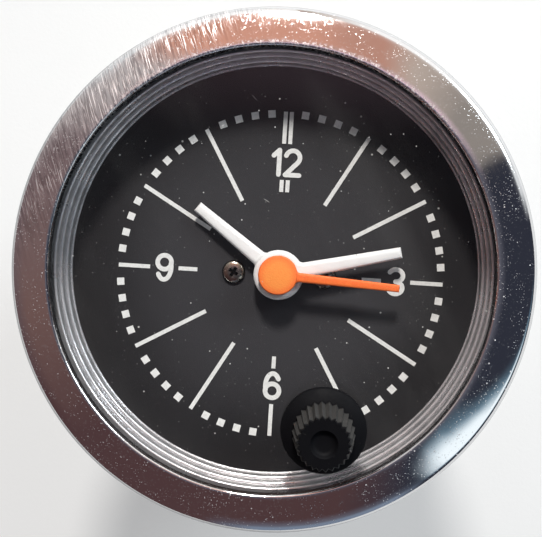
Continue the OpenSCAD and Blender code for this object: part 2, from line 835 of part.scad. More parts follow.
// Unit vector square to the path at point i, pointing to its left
function left_of(path, i) =
    let (
        last = len(path) - 1,
        along = path[min(i + 1, last)] - path[max(i - 1, 0)]
    )
    [-along.y, along.x] / norm(along);

// Outline of a stroke of constant width with round ends
function stroke_points(path, w) =
    let (
        r = w / 2,
        last = len(path) - 1,
        start = heading(path[1], path[0]),
        end = heading(path[last - 1], path[last])
    )
    concat(
        [for (i = [0 : last]) path[i] - r * left_of(path, i)],
        [for (a = [-60 : 30 : 60]) path[last] + polar(r, end + a)],
        [for (i = [last : -1 : 0]) path[i] + r * left_of(path, i)],
        [for (a = [-60 : 30 : 60]) path[0] + polar(r, start + a)]
    );

module stroke(path) {
    polygon(stroke_points(path, numeral_stroke));
}

// Half the height and width of a numeral's strokes at their middle line
function mid_h() = (numeral_h - numeral_stroke) / 2;
function mid_w() = (numeral_w - numeral_stroke) / 2;

module numeral_1() {
    flag = mid_w() * 0.8;
    stroke([[0, -mid_h()], [0, mid_h()]]);
    stroke([[0, mid_h()], [-flag, mid_h() - flag]]);
}

module numeral_2() {
    bowl = [0, mid_h() - mid_w()];
    stroke(concat(
        arc(bowl, mid_w(), mid_w(), 165, -40, 10),
        [[-mid_w(), -mid_h()]]
    ));
    stroke([[-mid_w(), -mid_h()], [mid_w(), -mid_h()]]);
}

module numeral_3() {
    half = mid_h() / 2;
    for (i = [-1, 1])
        stroke(arc([0, i * half], mid_w(), half, -i * 90, i * 150, 12));
}

module numeral_6() {
    bowl_r = mid_w();
    bowl = [0, bowl_r - mid_h()];
    hook = 35;
    join = 200;
    difference() {
        translate(bowl) circle(bowl_r + numeral_stroke / 2);
        translate(bowl) circle(bowl_r - numeral_stroke / 2);
    }
    stroke(arc([0, 0], mid_w(), mid_h(), hook, join, 14));
}

module numeral_9() {
    rotate(180) numeral_6();
}

module dial_print_outline() {
    for (m = [0 : 59])
        if (m % 5 != 0)
            rotate(-6 * m) translate([0, minute_ring_r]) square(minute_square, center = true);
    for (h = [1, 2, 4, 5, 7, 8, 10, 11]) dial_line(30 * h, hour_line_in_r, hour_line_out_r);
    for (h = [3, 6, 9]) {
        dial_line(30 * h, hour_line_in_r, h == 6 ? upright_in_r : side_in_r);
        dial_line(30 * h, numeral_out_r, hour_line_out_r);
    }
    for (i = [-1, 1]) {
        dial_line(0, hour_line_in_r, upright_in_r, i * twelve_line_gap / 2);
        dial_line(0, numeral_out_r, hour_line_out_r, i * twelve_line_gap / 2);
    }
    translate([-twelve_pitch / 2, upright_r]) numeral_1();
    translate([twelve_pitch / 2, upright_r]) numeral_2();
    translate([side_r, 0]) numeral_3();
    translate([0, -upright_r]) numeral_6();
    translate([-side_r, 0]) numeral_9();
}

module dial_markings() {
    color("ivory")
    in_movement()
    difference() {
        translate([0, 0, dial_top]) linear_extrude(ink_t) dial_print_outline();
        translate(knob_at) bar(stem_r + run_gap + fit_gap, dial_top - cut, dial_top + cut);
    }
}

module dial_screws() {
    color([0.2, 0.2, 0.2])
    in_movement()
    for (p = dial_screw_places)
        translate(p)
        difference() {
            union() {
                bar(dial_screw_d / 2, front_z + press_gap, dial_top);
                bar(dial_screw_head_d / 2, dial_top, dial_top + dial_screw_head_h);
            }
            cross_recess(
                dial_screw_head_d * 0.6, dial_screw_head_h * 0.6, dial_top + dial_screw_head_h
            );
        }
}

// A hand's blade from the hands' axis to its tip, widening or narrowing evenly
module blade(angle, length, root_w, tip_w, z, t) {
    rotate(-angle)
    translate([0, 0, z])
    linear_extrude(t)
    polygon([[-root_w / 2, 0], [root_w / 2, 0], [tip_w / 2, length], [-tip_w / 2, length]]);
}

module hour_hand() {
    color("white")
    in_movement()
    difference() {
        union() {
            bar(hub_d / 2, hour_z, hour_z + hand_t);
            blade(hour_angle, hour_len, hand_root_w, hand_tip_w, hour_z, hand_t);
        }
        bar(hour_r + press_gap, hour_z - cut, hour_z + hand_t + cut);
    }
}

module minute_hand() {
    color("white")
    in_movement()
    difference() {
        union() {
            bar(hub_d / 2, minute_z, minute_z + hand_t);
            blade(minute_angle, minute_len, hand_root_w, hand_tip_w, minute_z, hand_t);
        }
        bar(cannon_r + press_gap, minute_z - cut, minute_z + hand_t + cut);
    }
}

module second_hand() {
    color("orangered")
    in_movement()
    difference() {
        union() {
            bar(cap_d / 2, second_z, second_top + cap_rise);
            blade(second_angle, second_len, second_root_w, second_tip_w, second_z, second_t);
        }
        bar(arbor_r + press_gap, second_z - cut, second_top + press_gap);
    }
}

module hour_wheel() {
    turn = heading(hands_at, minute_wheel_at);
    color("gold")
    in_movement()
    difference() {
        union() {
            gear(hour_wheel_teeth, hour_module, -pinion_shift(minute_pinion_teeth), turn, hour_wheel_z,
                wheel_t, holes = 4);
            bar(hour_r, hour_wheel_z, hour_z + hand_t);
        }
        bar(hour_in_r, hour_wheel_z - cut, minute_z);
    }
}

module minute_wheel() {
    to_hands = heading(minute_wheel_at, hands_at);
    color("gold")
    in_movement()
    translate(minute_wheel_at) {
        gear(minute_wheel_teeth, motion_module, -pinion_shift(cannon_teeth), to_hands, minute_wheel_z, wheel_t,
            holes = 4);
        gear(minute_pinion_teeth, hour_module, pinion_shift(minute_pinion_teeth),
            to_hands + 180 / minute_pinion_teeth, minute_wheel_z + wheel_t, level_gap + wheel_t);
        bar(minute_arbor_r, middle_top - pivot_depth, front_z + pivot_depth);
    }
}

module cannon_pinion() {
    turn = heading(hands_at, minute_wheel_at) + 180 / cannon_teeth;
    color("gold")
    in_movement()
    difference() {
        union() {
            gear(cannon_teeth, motion_module, pinion_shift(cannon_teeth), turn, minute_wheel_z, wheel_t);
            bar(cannon_r, minute_wheel_z, minute_z + hand_t);
        }
        bar(cannon_in_r, minute_wheel_z - cut, second_z);
    }
}

module clutch_washer() {
    top = minute_wheel_z - end_gap;
    color("lightgray")
    in_movement()
    tube(centre_r + press_gap, motion_module * cannon_teeth / 2, top - clutch_t, top);
}

module centre_wheel() {
    turn = heading(hands_at, third_at);
    color("gold")
    in_movement()
    difference() {
        union() {
            gear(centre_wheel_teeth, centre_module, -pinion_shift(train_pinion_teeth), turn, centre_wheel_z,
                wheel_t, holes = 4);
            bar(centre_r, centre_wheel_z, minute_z - end_gap);
            bar(centre_r + tube_wall, centre_wheel_z, middle_z - end_gap);
        }
        bar(centre_in_r, centre_wheel_z - cut, minute_z + cut);
    }
}

module third_wheel() {
    to_hands = heading(third_at, hands_at);
    color("gold")
    in_movement()
    translate(third_at) {
        gear(third_wheel_teeth, third_module, -pinion_shift(train_pinion_teeth), to_hands, third_wheel_z, wheel_t,
            holes = 4);
        gear(train_pinion_teeth, centre_module, pinion_shift(train_pinion_teeth),
            to_hands + 180 / train_pinion_teeth, third_wheel_z + wheel_t, level_gap + wheel_t);
        bar(arbor_r, back_top - pivot_depth, middle_z + pivot_depth);
    }
}

module seconds_wheel() {
    color("gold")
    in_movement() {
        gear(seconds_wheel_teeth, seconds_module, -pinion_shift(train_pinion_teeth),
            heading(hands_at, intermediate_at), seconds_wheel_z, wheel_t, holes = 4);
        gear(train_pinion_teeth, third_module, pinion_shift(train_pinion_teeth),
            heading(hands_at, third_at) + 180 / train_pinion_teeth, seconds_wheel_z + wheel_t,
            level_gap + wheel_t);
        bar(arbor_r, back_top - pivot_depth, second_top);
    }
}

module intermediate_wheel() {
    color("gold")
    in_movement()
    translate(intermediate_at) {
        gear(intermediate_wheel_teeth, rotor_module, -pinion_shift(train_pinion_teeth),
            heading(intermediate_at, rotor_at), intermediate_wheel_z, wheel_t, holes = 4);
        gear(train_pinion_teeth, seconds_module, pinion_shift(train_pinion_teeth),
            heading(intermediate_at, hands_at) + 180 / train_pinion_teeth, intermediate_wheel_z + wheel_t,
            level_gap + wheel_t);
        bar(arbor_r, back_top - pivot_depth, middle_z + pivot_depth);
    }
}

module rotor() {
    color("silver")
    in_movement()
    translate(rotor_at) {
        gear(train_pinion_teeth, rotor_module, pinion_shift(train_pinion_teeth),
            heading(rotor_at, intermediate_at) + 180 / train_pinion_teeth, intermediate_wheel_z, wheel_t);
        bar(arbor_r, back_top - pivot_depth, middle_z + pivot_depth);
    }
}

module rotor_magnet() {
    color([0.25, 0.25, 0.28])
    in_movement()
    translate(rotor_at)
    tube(arbor_r + press_gap, magnet_d / 2, back_top + end_gap, back_top + stator_t);
}

// A rectangle of the stator, centred on a place in the movement
module iron_bar(place, size, z) {
    translate([place.x, place.y, z + stator_t / 2]) cube([size.x, size.y, stator_t], center = true);
}

module stator() {
    hole_r = magnet_d / 2 + air_gap;
    arm_len = coil_offset + arm_w / 2;
    color("slategray")
    in_movement()
    difference() {
        union() {
            iron_bar(rotor_at, [stator_len, stator_w], back_top);
            for (i = [-1, 1])
                iron_bar(rotor_at + [i * stator_screw_x, -arm_len / 2], [arm_w, arm_len], back_top);
        }
        translate(rotor_at) bar(hole_r, back_top - cut, back_top + stator_t + cut);
        for (i = [-1, 1])
            translate(coil_at + [i * stator_screw_x, 0])
            bar(stator_screw_d / 2 + press_gap, back_top - cut, back_top + stator_t + cut);
    }
}

module stator_screws() {
    head_z = back_top + 2 * stator_t;
    color("lightgray")
    in_movement()
    for (i = [-1, 1])
        translate(coil_at + [i * stator_screw_x, 0])
        difference() {
            union() {
                bar(stator_screw_d / 2, back_z, head_z);
                bar(stator_screw_head_d / 2, head_z, head_z + stator_screw_head_h);
            }
            cross_recess(
                stator_screw_head_d * 0.6, stator_screw_head_h * 0.6, head_z + stator_screw_head_h
            );
        }
}

module coil_core() {
    core_z = back_top + stator_t;
    color("slategray")
    in_movement()
    difference() {
        iron_bar(coil_at, [stator_len, arm_w], core_z);
        for (i = [-1, 1])
            translate(coil_at + [i * stator_screw_x, 0])
            bar(stator_screw_d / 2 + press_gap, core_z - cut, core_z + stator_t + cut);
    }
}

// A round bar along X on the coil's axis
module coil_bar(r, length) {
    translate([coil_at.x, coil_at.y, coil_z])
    rotate([0, 90, 0])
    cylinder(r = r, h = length, center = true);
}

module coil_bobbin() {
    flange_x = (bobbin_len - bobbin_flange_t) / 2;
    color("ivory")
    in_movement()
    difference() {
        union() {
            coil_bar(barrel_r, bobbin_len);
            for (i = [-1, 1]) translate([i * flange_x, 0, 0]) coil_bar(bobbin_d / 2, bobbin_flange_t);
        }
        translate([coil_at.x, coil_at.y, coil_z])
            cube([bobbin_len + cut, arm_w + 2 * press_gap, stator_t + 2 * press_gap], center = true);
    }
}

module coil_winding() {
    length = bobbin_len - 2 * bobbin_flange_t - 2 * press_gap;
    color("chocolate")
    in_movement()
    difference() {
        coil_bar(bobbin_d / 2 - fit_gap, length);
        coil_bar(barrel_r + press_gap, length + cut);
    }
}

module circuit_board() {
    color("darkgreen")
    difference() {
        in_movement() bar(plate_r, board_z, board_top);
        lamp_opening();
        at_pillars() bar(pillar_screw_d / 2 + press_gap, board_z - cut, board_top + cut);
        for (p = blade_places)
            translate([p.x, p.y, board_top])
            cube([blade_t + 2 * press_gap, blade_w + 2 * press_gap, 2 * board_t + cut], center = true);
    }
}

module quartz_can() {
    color("lightgray")
    in_movement()
    translate([quartz_at.x - quartz_l / 2, quartz_at.y, board_top + quartz_d / 2])
    rotate([0, 90, 0])
    cylinder(d = quartz_d, h = quartz_l);
}

module clock_chip() {
    pin_w = chip_l / 12;
    pin_gap = chip_l / 4;
    color([0.12, 0.12, 0.13])
    in_movement()
    translate([chip_at.x, chip_at.y, board_top]) {
        translate([-chip_l / 2, -chip_w / 2, chip_h / 6]) cube([chip_l, chip_w, chip_h * 5 / 6]);
        for (i = [-1.5 : 1 : 1.5])
            translate([i * pin_gap - pin_w / 2, -chip_w / 2 - pin_w, 0])
            cube([pin_w, chip_w + 2 * pin_w, chip_h / 3]);
    }
}

module capacitor() {
    color([0.1, 0.12, 0.3])
    in_movement()
    translate(capacitor_at)
    bar(capacitor_d / 2, board_z - capacitor_h, board_z);
}

module terminal_block() {
    spigot_w = 2 * blade_pitch + blade_t + 2 * spigot_wall;
    spigot_h = blade_w + 2 * spigot_wall;
    color([0.1, 0.1, 0.1])
    difference() {
        union() {
            translate([-block_w / 2, -block_y - block_h / 2, cover_z - block_t])
                cube([block_w, block_h, block_t]);
            translate([-spigot_w / 2, -block_y - spigot_h / 2, cover_z - block_t])
                cube([spigot_w, spigot_h, block_t + cover_t]);
        }
        for (p = blade_places)
            translate([p.x, p.y, cover_z])
            cube(
                [blade_t + 2 * press_gap, blade_w + 2 * press_gap, 2 * (block_t + cover_t)],
                center = true
            );
    }
}

module terminal_blades() {
    solder = 0.6;
    color("gold")
    for (p = blade_places)
        translate([p.x - blade_t / 2, p.y - blade_w / 2, rear_z])
        cube([blade_t, blade_w, board_top + solder - rear_z]);
}

module mounting_studs() {
    color("lightgray")
    for (p = stud_places)
        translate(p) {
            bar(stud_end_d / 2, rear_z, nut_z);
            bar(stud_d / 2, nut_z, cover_top);
            bar(stud_head_d / 2, cover_top, cover_top + stud_head_t);
        }
}

module stud_washers() {
    color("silver")
    for (p = stud_places)
        translate(p) tube(stud_d / 2 + fit_gap, washer_d / 2, cover_z - washer_t, cover_z);
}

module stud_nuts() {
    color("silver")
    for (p = stud_places)
        translate(p)
        difference() {
            translate([0, 0, nut_z]) cylinder(d = nut_flats / cos(30), h = nut_h, $fn = 6);
            bar(stud_d / 2 + press_gap, nut_z - cut, nut_z + nut_h + cut);
        }
}

module lamp_holder() {
    wing_z = holder_z + holder_floor_t / 2;
    wing_top = cover_z - holder_flange_t - fit_gap;
    color([0.15, 0.15, 0.15])
    translate(lamp_at)
    rotate(lamp_angle)
    difference() {
        union() {
            bar(holder_r, holder_z, cover_top);
            bar(collar_r, cover_z - holder_flange_t, cover_z);
            translate([-wing_t / 2, -collar_r, wing_z]) cube([wing_t, 2 * collar_r, wing_top - wing_z]);
        }
        bar(holder_in_r, contact_z, cover_top + cut);
        translate([0, 0, holder_z])
            cube([tab_t + 2 * press_gap, tab_w + 2 * press_gap, 3 * holder_floor_t], center = true);
    }
}

module lamp_contact() {
    contact_r = norm([tab_t, tab_w]) / 2 + press_gap;
    color("gold")
    translate(lamp_at)
    rotate(lamp_angle) {
        translate([-tab_t / 2, -tab_w / 2, rear_z]) cube([tab_t, tab_w, contact_z - rear_z]);
        bar(contact_r, contact_z, contact_z + contact_t);
    }
}

module bulb_cap() {
    color("goldenrod")
    translate(lamp_at) bar(bulb_cap_r, bulb_cap_z, bulb_glass_z);
}

module bulb_glass() {
    dome_z = bulb_glass_z + bulb_glass_l - bulb_glass_r;
    dome = [for (a = [0 : 15 : 75]) [0, dome_z] + polar(bulb_glass_r, a)];
    color("lightyellow", 0.5)
    translate(lamp_at)
    rotate_extrude()
    polygon(concat(
        [[0, bulb_glass_z], [bulb_glass_r, bulb_glass_z]],
        dome,
        [[0, dome_z + bulb_glass_r]]
    ));
}

module setting_knob() {
    lean = atan((grip_root_d - grip_top_d) / 2 / grip_h);
    color([0.08, 0.08, 0.08])
    in_movement()
    translate(knob_at)
    difference() {
        union() {
            bar(knob_flange_d / 2, knob_z, cone_z);
            translate([0, 0, cone_z])
                cylinder(d1 = knob_flange_d, d2 = grip_root_d, h = flange_rise);
            translate([0, 0, grip_z]) cylinder(d1 = grip_root_d, d2 = grip_top_d, h = grip_h);
        }
        for (i = [0 : flutes - 1])
            rotate(i * 360 / flutes)
            translate([grip_root_d / 2, 0, grip_z])
            rotate([0, -lean, 0])
            cylinder(r = flute_depth, h = grip_h + cut, $fn = 4);
        bar(dimple_d / 2, knob_top - dimple_h, knob_top + cut);
        bar(stem_r + press_gap, knob_z - cut, stem_top + press_gap);
    }
}

module setting_stem() {
    groove_r = stem_r - groove_depth;
    color("silver")
    in_movement()
    translate(knob_at)
    difference() {
        bar(stem_r, stem_z, stem_top);
        tube(groove_r, stem_r + cut, clip_z - press_gap, clip_top + press_gap);
    }
}

module setting_pinion() {
    to_wheel = heading(knob_at, minute_wheel_at);
    from_wheel = heading(minute_wheel_at, knob_at);
    wheel_turn = heading(minute_wheel_at, hands_at);
    turn = to_wheel + (180 - minute_wheel_teeth * (wheel_turn - from_wheel)) / cannon_teeth;
    color("gold")
    in_movement()
    translate(knob_at)
    gear(cannon_teeth, motion_module, pinion_shift(cannon_teeth), turn, setting_pinion_z, setting_pinion_t,
        bore = stem_r + press_gap);
}

module stem_grommet() {
    in_r = stem_r + run_gap;
    out_r = in_r + grommet_wall;
    color([0.1, 0.1, 0.1])
    in_movement()
    translate(knob_at)
    difference() {
        union() {
            bar(out_r, crystal_z - grommet_flange, crystal_top + grommet_flange);
            bar(out_r + grommet_flange, crystal_z - grommet_flange, crystal_z);
            bar(out_r + grommet_flange, crystal_top, crystal_top + grommet_flange);
        }
        bar(in_r, crystal_z - cut, crystal_top + cut);
    }
}

// Points round the spring's wire at step i of its helix
function wire_ring(i, steps, length) =
    let (
        a = i * 360 / turn_steps,
        z = back_top + press_gap + spring_wire / 2 + (length - spring_wire) * i / steps
    )
    [for (k = [0 : wire_sides - 1]) let (b = k * 360 / wire_sides)
        let (r = spring_r + spring_wire / 2 * cos(b))
        [r * cos(a), r * sin(a), z + spring_wire / 2 * sin(b)]];

module stem_spring() {
    length = washer_z - back_top - 2 * press_gap;
    steps = spring_turns * turn_steps;
    points = [for (i = [0 : steps]) each wire_ring(i, steps, length)];
    sides = [for (i = [0 : steps - 1], k = [0 : wire_sides - 1])
        let (
            a = i * wire_sides + k,
            b = i * wire_sides + (k + 1) % wire_sides
        )
        each [[a, a + wire_sides, b], [b, a + wire_sides, b + wire_sides]]];
    first = [for (k = [1 : wire_sides - 2]) [0, k, k + 1]];
    top = steps * wire_sides;
    last = [for (k = [1 : wire_sides - 2]) [top, top + k + 1, top + k]];
    color("silver")
    in_movement()
    translate(knob_at)
    polyhedron(points, concat(sides, first, last));
}

module stem_washer() {
    color("silver")
    in_movement()
    translate(knob_at)
    tube(stem_r + run_gap, clip_d / 2, washer_z, washer_top);
}

module stem_clip() {
    in_r = stem_r - groove_depth + press_gap;
    color("gray")
    in_movement()
    translate(knob_at)
    difference() {
        tube(in_r, clip_d / 2, clip_z, clip_top);
        translate([0, -in_r * 0.8, clip_z - cut]) cube([clip_d, in_r * 1.6, clip_t + 2 * cut]);
    }
}

bezel();
crystal();
crystal_gasket();
reflector_ring();
case_can();
rear_cover();
rear_cover_screws();
rear_spacers();
board_spacers();
train_pillars();
motion_pillars();
plate_screws();
front_plate();
middle_plate();
back_plate();
dial();
dial_markings();
dial_screws();
hour_hand();
minute_hand();
second_hand();
hour_wheel();
minute_wheel();
cannon_pinion();
clutch_washer();
centre_wheel();
third_wheel();
seconds_wheel();
intermediate_wheel();
rotor();
rotor_magnet();
stator();
stator_screws();
coil_core();
coil_bobbin();
coil_winding();
circuit_board();
quartz_can();
clock_chip();
capacitor();
terminal_block();
terminal_blades();
mounting_studs();
stud_nuts();
stud_washers();
lamp_holder();
lamp_contact();
bulb_cap();
bulb_glass();
setting_knob();
setting_stem();
setting_pinion();
stem_grommet();
stem_spring();
stem_washer();
stem_clip();
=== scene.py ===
import json
import math

import bmesh
import bpy
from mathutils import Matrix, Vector

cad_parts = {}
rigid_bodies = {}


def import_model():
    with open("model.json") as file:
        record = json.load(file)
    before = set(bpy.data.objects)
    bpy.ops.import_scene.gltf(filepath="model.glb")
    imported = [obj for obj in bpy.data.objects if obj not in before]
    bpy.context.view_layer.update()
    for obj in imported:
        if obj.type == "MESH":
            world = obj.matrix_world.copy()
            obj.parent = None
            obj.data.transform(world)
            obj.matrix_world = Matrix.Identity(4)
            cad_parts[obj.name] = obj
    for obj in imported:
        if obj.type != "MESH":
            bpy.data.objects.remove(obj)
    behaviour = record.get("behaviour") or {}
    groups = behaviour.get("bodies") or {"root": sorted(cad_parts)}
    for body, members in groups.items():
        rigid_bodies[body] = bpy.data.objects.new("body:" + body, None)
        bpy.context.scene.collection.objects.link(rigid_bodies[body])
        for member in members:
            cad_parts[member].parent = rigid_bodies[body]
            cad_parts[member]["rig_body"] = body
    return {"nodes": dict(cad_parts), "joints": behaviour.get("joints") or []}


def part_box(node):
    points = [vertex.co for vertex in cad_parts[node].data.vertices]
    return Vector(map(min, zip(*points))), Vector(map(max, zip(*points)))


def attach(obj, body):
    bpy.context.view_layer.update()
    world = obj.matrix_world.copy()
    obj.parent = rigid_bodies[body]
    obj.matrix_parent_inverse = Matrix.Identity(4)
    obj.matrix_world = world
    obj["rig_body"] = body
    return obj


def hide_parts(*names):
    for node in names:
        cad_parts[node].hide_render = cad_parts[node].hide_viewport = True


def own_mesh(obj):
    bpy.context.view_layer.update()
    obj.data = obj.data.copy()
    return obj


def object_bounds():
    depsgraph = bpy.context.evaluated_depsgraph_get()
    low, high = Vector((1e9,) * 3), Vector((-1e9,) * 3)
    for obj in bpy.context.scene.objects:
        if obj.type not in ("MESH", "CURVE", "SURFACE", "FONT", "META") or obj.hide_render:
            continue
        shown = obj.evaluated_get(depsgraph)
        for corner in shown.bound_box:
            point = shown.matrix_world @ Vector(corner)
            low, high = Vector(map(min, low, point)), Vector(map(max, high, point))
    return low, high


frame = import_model()
cad_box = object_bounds()
nodes = frame["nodes"]
mm = 0.001


# Camera: a phone held over the dial, about 10 cm above the bezel, a little right of the middle
# and turned a few degrees, so that twelve leans to the right. The picture is 542 by 537 pixels.
image_w = 542
focal_px = 846
camera_data = bpy.data.cameras.new("camera")
camera_data.sensor_width = 36
camera_data.lens = camera_data.sensor_width * focal_px / image_w
camera_data.clip_start = 1 * mm
camera = bpy.data.objects.new("camera", camera_data)
camera.location = (5.07 * mm, 2.45 * mm, 99.53 * mm)
camera.rotation_euler = (math.radians(-1.1), math.radians(3.04), math.radians(3.49))
bpy.context.scene.collection.objects.link(camera)
bpy.context.scene.camera = camera
bpy.context.scene.view_settings.view_transform = "Standard"


# Table top: plain white laminate, on which the clock stands on its rear fittings. It takes
# the clock's soft shadow, and fades into the white of the backdrop farther out.
class Wire:
    """A socket in a node tree: sums on it add Math nodes, and node() adds any other node."""

    def __init__(self, tree, socket=None):
        self.tree = tree
        self.socket = socket

    def node(self, kind, settings=(), sockets=(), out=0):
        made = self.tree.nodes.new(kind)
        for name, value in dict(settings).items():
            if name == "stops":
                ramp = made.color_ramp
                while len(ramp.elements) < len(value):
                    ramp.elements.new(0)
                for element, (place, colour) in zip(ramp.elements, value):
                    element.position = place
                    element.color = (*colour, 1)
            else:
                setattr(made, name, value)
        for name, value in dict(sockets).items():
            if isinstance(value, Wire):
                self.tree.links.new(value.socket, made.inputs[name])
            else:
                made.inputs[name].default_value = value
        return Wire(self.tree, made.outputs[out])

    def maths(self, operation, *others):
        return self.node("ShaderNodeMath", {"operation": operation}, enumerate((self, *others)))

    def __add__(self, other):
        return self.maths("ADD", other)

    __radd__ = __add__

    def __sub__(self, other):
        return self.maths("SUBTRACT", other)

    def __rsub__(self, other):
        return self.maths("MULTIPLY_ADD", -1, other)

    def __mul__(self, other):
        return self.maths("MULTIPLY", other)

    __rmul__ = __mul__

    def __truediv__(self, other):
        return self.maths("DIVIDE", other)

    def between(self, low, high):
        """0 below low, 1 above high, and a smooth rise from one to the other."""
        settings = {"interpolation_type": "SMOOTHSTEP"}
        sockets = {"Value": self, "From Min": low, "From Max": high}
        return self.node("ShaderNodeMapRange", settings, sockets)

    def blend(self, first, second):
        """The first colour where this is 0, the second where it is 1."""
        first = first if isinstance(first, Wire) else (*first, 1)
        second = second if isinstance(second, Wire) else (*second, 1)
        sockets = {0: self, 6: first, 7: second}
        return self.node("ShaderNodeMix", {"data_type": "RGBA"}, sockets, out=2)

    def object_points(self):
        return self.node("ShaderNodeTexCoord", out="Object")

    def axis(self, name):
        return self.node("ShaderNodeSeparateXYZ", sockets={0: self}, out=name)

    def placed(self, location=(0, 0, 0), turn=0, stretch=(1, 1, 1)):
        """Points for a pattern that is stretched along the axes, turned and moved to location."""
        sockets = {"Vector": self, "Location": location, "Rotation": (0, 0, turn), "Scale": stretch}
        return self.node("ShaderNodeMapping", {"vector_type": "TEXTURE"}, sockets)

    def from_line(self, centre=(0, 0)):
        """How far these points are from the vertical line through centre, heights left out."""
        level = self.placed(location=(*centre, 0), stretch=(1, 1, 1000000))
        return self.node("ShaderNodeVectorMath", {"operation": "LENGTH"}, {0: level}, out="Value")

    def noise(self, size, detail=3, roughness=0.55):
        """Cloudy noise, 0 to 1, in patches of about this size."""
        sockets = {"Vector": self, "Scale": 1 / size, "Detail": detail, "Roughness": roughness}
        return self.node("ShaderNodeTexNoise", sockets=sockets, out="Fac")

    def specks(self, spacing, reach):
        """1 at points scattered this far apart, falling to 0 at reach, as a part of the spacing."""
        sockets = {"Vector": self, "Scale": 1 / spacing}
        near = self.node("ShaderNodeTexVoronoi", sockets=sockets, out="Distance")
        return 1 - near.between(reach * 0.5, reach)

    def bump(self, depth):
        """A normal for this height, 0 to 1, where 1 stands this deep."""
        return self.node("ShaderNodeBump", sockets={"Height": self, "Distance": depth})


def finish(name, sockets, feed):
    """A material: sockets are its shader's constants, and feed(wire) gives what varies
    over the surface."""
    made = bpy.data.materials.new(name)
    made.use_nodes = True
    shader = made.node_tree.nodes["Principled BSDF"]
    for socket, value in sockets.items():
        shader.inputs[socket].default_value = value
    wire = Wire(made.node_tree)
    for socket, value in feed(wire).items():
        made.node_tree.links.new(value.socket, shader.inputs[socket])
    return made


def laminate(wire):
    points = wire.object_points()
    tone = points.noise(60 * mm, 2).between(0.3, 0.7)
    grain = points.noise(0.6 * mm, 2)
    return {
        "Base Color": tone.blend((0.8, 0.8, 0.795), (0.84, 0.84, 0.835)),
        "Normal": grain.bump(0.02 * mm),
    }


table_side = 4000 * mm
bpy.ops.object.select_all(action="DESELECT")
bpy.ops.mesh.primitive_plane_add(size=table_side, location=(0, 0, 0))
table = bpy.context.object
table.name = "table"
bpy.ops.object.mode_set(mode="EDIT")
bpy.ops.transform.translate(value=(0, 0, cad_box[0][2]))
bpy.ops.object.mode_set(mode="OBJECT")
table_white = finish("white_laminate", {"Roughness": 0.55}, laminate)
table.data.materials.append(table_white)

backdrop = (0.93, 0.93, 0.925)
fade_start = 89 * mm
fade_end = 417 * mm
least_glow = 0.4
table_tree = table_white.node_tree
shading = Wire(table_tree)
faded = shading.object_points().from_line().between(fade_start, fade_end)
glow = least_glow + (1 - least_glow) * faded
rays = "ShaderNodeLightPath"
seen_rays = shading.node(rays, out="Is Camera Ray") + shading.node(rays, out="Is Glossy Ray")
seen_rays = (seen_rays + shading.node(rays, out="Is Transmission Ray")).maths("MINIMUM", 1)
white = shading.node("ShaderNodeEmission", sockets={"Color": (*backdrop, 1)})
lit = Wire(table_tree, table_tree.nodes["Principled BSDF"].outputs[0])
surface = shading.node("ShaderNodeMixShader", sockets={0: glow * seen_rays, 1: lit, 2: white})
table_tree.links.new(surface.socket, table_tree.nodes["Material Output"].inputs["Surface"])


# Light: a warm soft lamp over the far side of the table, a weaker and cooler one low at the right,
# and a room of brown walls with a dark right side and one window, which the chrome mirrors.
def soft_lamp(name, clock_angle, height_angle, away, size, energy, colour):
    """A disc lamp that points at the dial from this clock angle and height, in degrees."""
    clock_angle = math.radians(clock_angle)
    height_angle = math.radians(height_angle)
    lamp_data = bpy.data.lights.new(name, "AREA")
    lamp_data.shape = "DISK"
    lamp_data.size = size
    lamp_data.energy = energy
    lamp_data.color = colour
    lamp = bpy.data.objects.new(name, lamp_data)
    lamp.location = away * Vector((
        math.cos(height_angle) * math.sin(clock_angle),
        math.cos(height_angle) * math.cos(clock_angle),
        math.sin(height_angle),
    ))
    lamp.rotation_euler = lamp.location.to_track_quat("Z", "Y").to_euler()
    bpy.context.scene.collection.objects.link(lamp)


soft_lamp(
    "warm_lamp", clock_angle=-2, height_angle=41, away=900 * mm, size=140 * mm,
    energy=9.3, colour=(1, 0.975, 0.945)
)
soft_lamp(
    "cool_lamp", clock_angle=50, height_angle=28, away=900 * mm, size=360 * mm,
    energy=4.3, colour=(0.84, 0.94, 1)
)

copper_wall = (0.8, 0.39, 0.28)
dusky_copper = (0.62, 0.32, 0.24)
pale_wall = (0.6, 0.49, 0.42)
grey_wall = (0.34, 0.3, 0.27)
dark_side = (0.034, 0.037, 0.054)
brown_floor = (0.095, 0.05, 0.052)
brown_wall = (0.19, 0.11, 0.1)
mauve_wall = (0.23, 0.165, 0.17)
silver_wall = (0.58, 0.52, 0.51)
lamp_glow = (1.25, 1.22, 1.2)
far_glow = (0.85, 0.87, 0.88)
table_shade = (0.22, 0.27, 0.36)
window_sky = (0.2, 0.33, 0.43)
window_glass = (1.15, 1.25, 1.3)
dark_ceiling = (0.12, 0.12, 0.15)
rosy_ceiling = (1.0, 0.7, 0.84)
grey_ceiling = (0.4, 0.37, 0.36)
warm_air = (0.155, 0.145, 0.135)
cool_air = (0.14, 0.16, 0.2)

room = bpy.data.worlds.new("room")
room.use_nodes = True
bpy.context.scene.world = room
air = Wire(room.node_tree)
towards = air.node("ShaderNodeTexCoord", out="Generated")
compass = (towards.axis("X").maths("ARCTAN2", towards.axis("Y")) / (2 * math.pi)).maths("FRACT")
rise = towards.axis("Z")

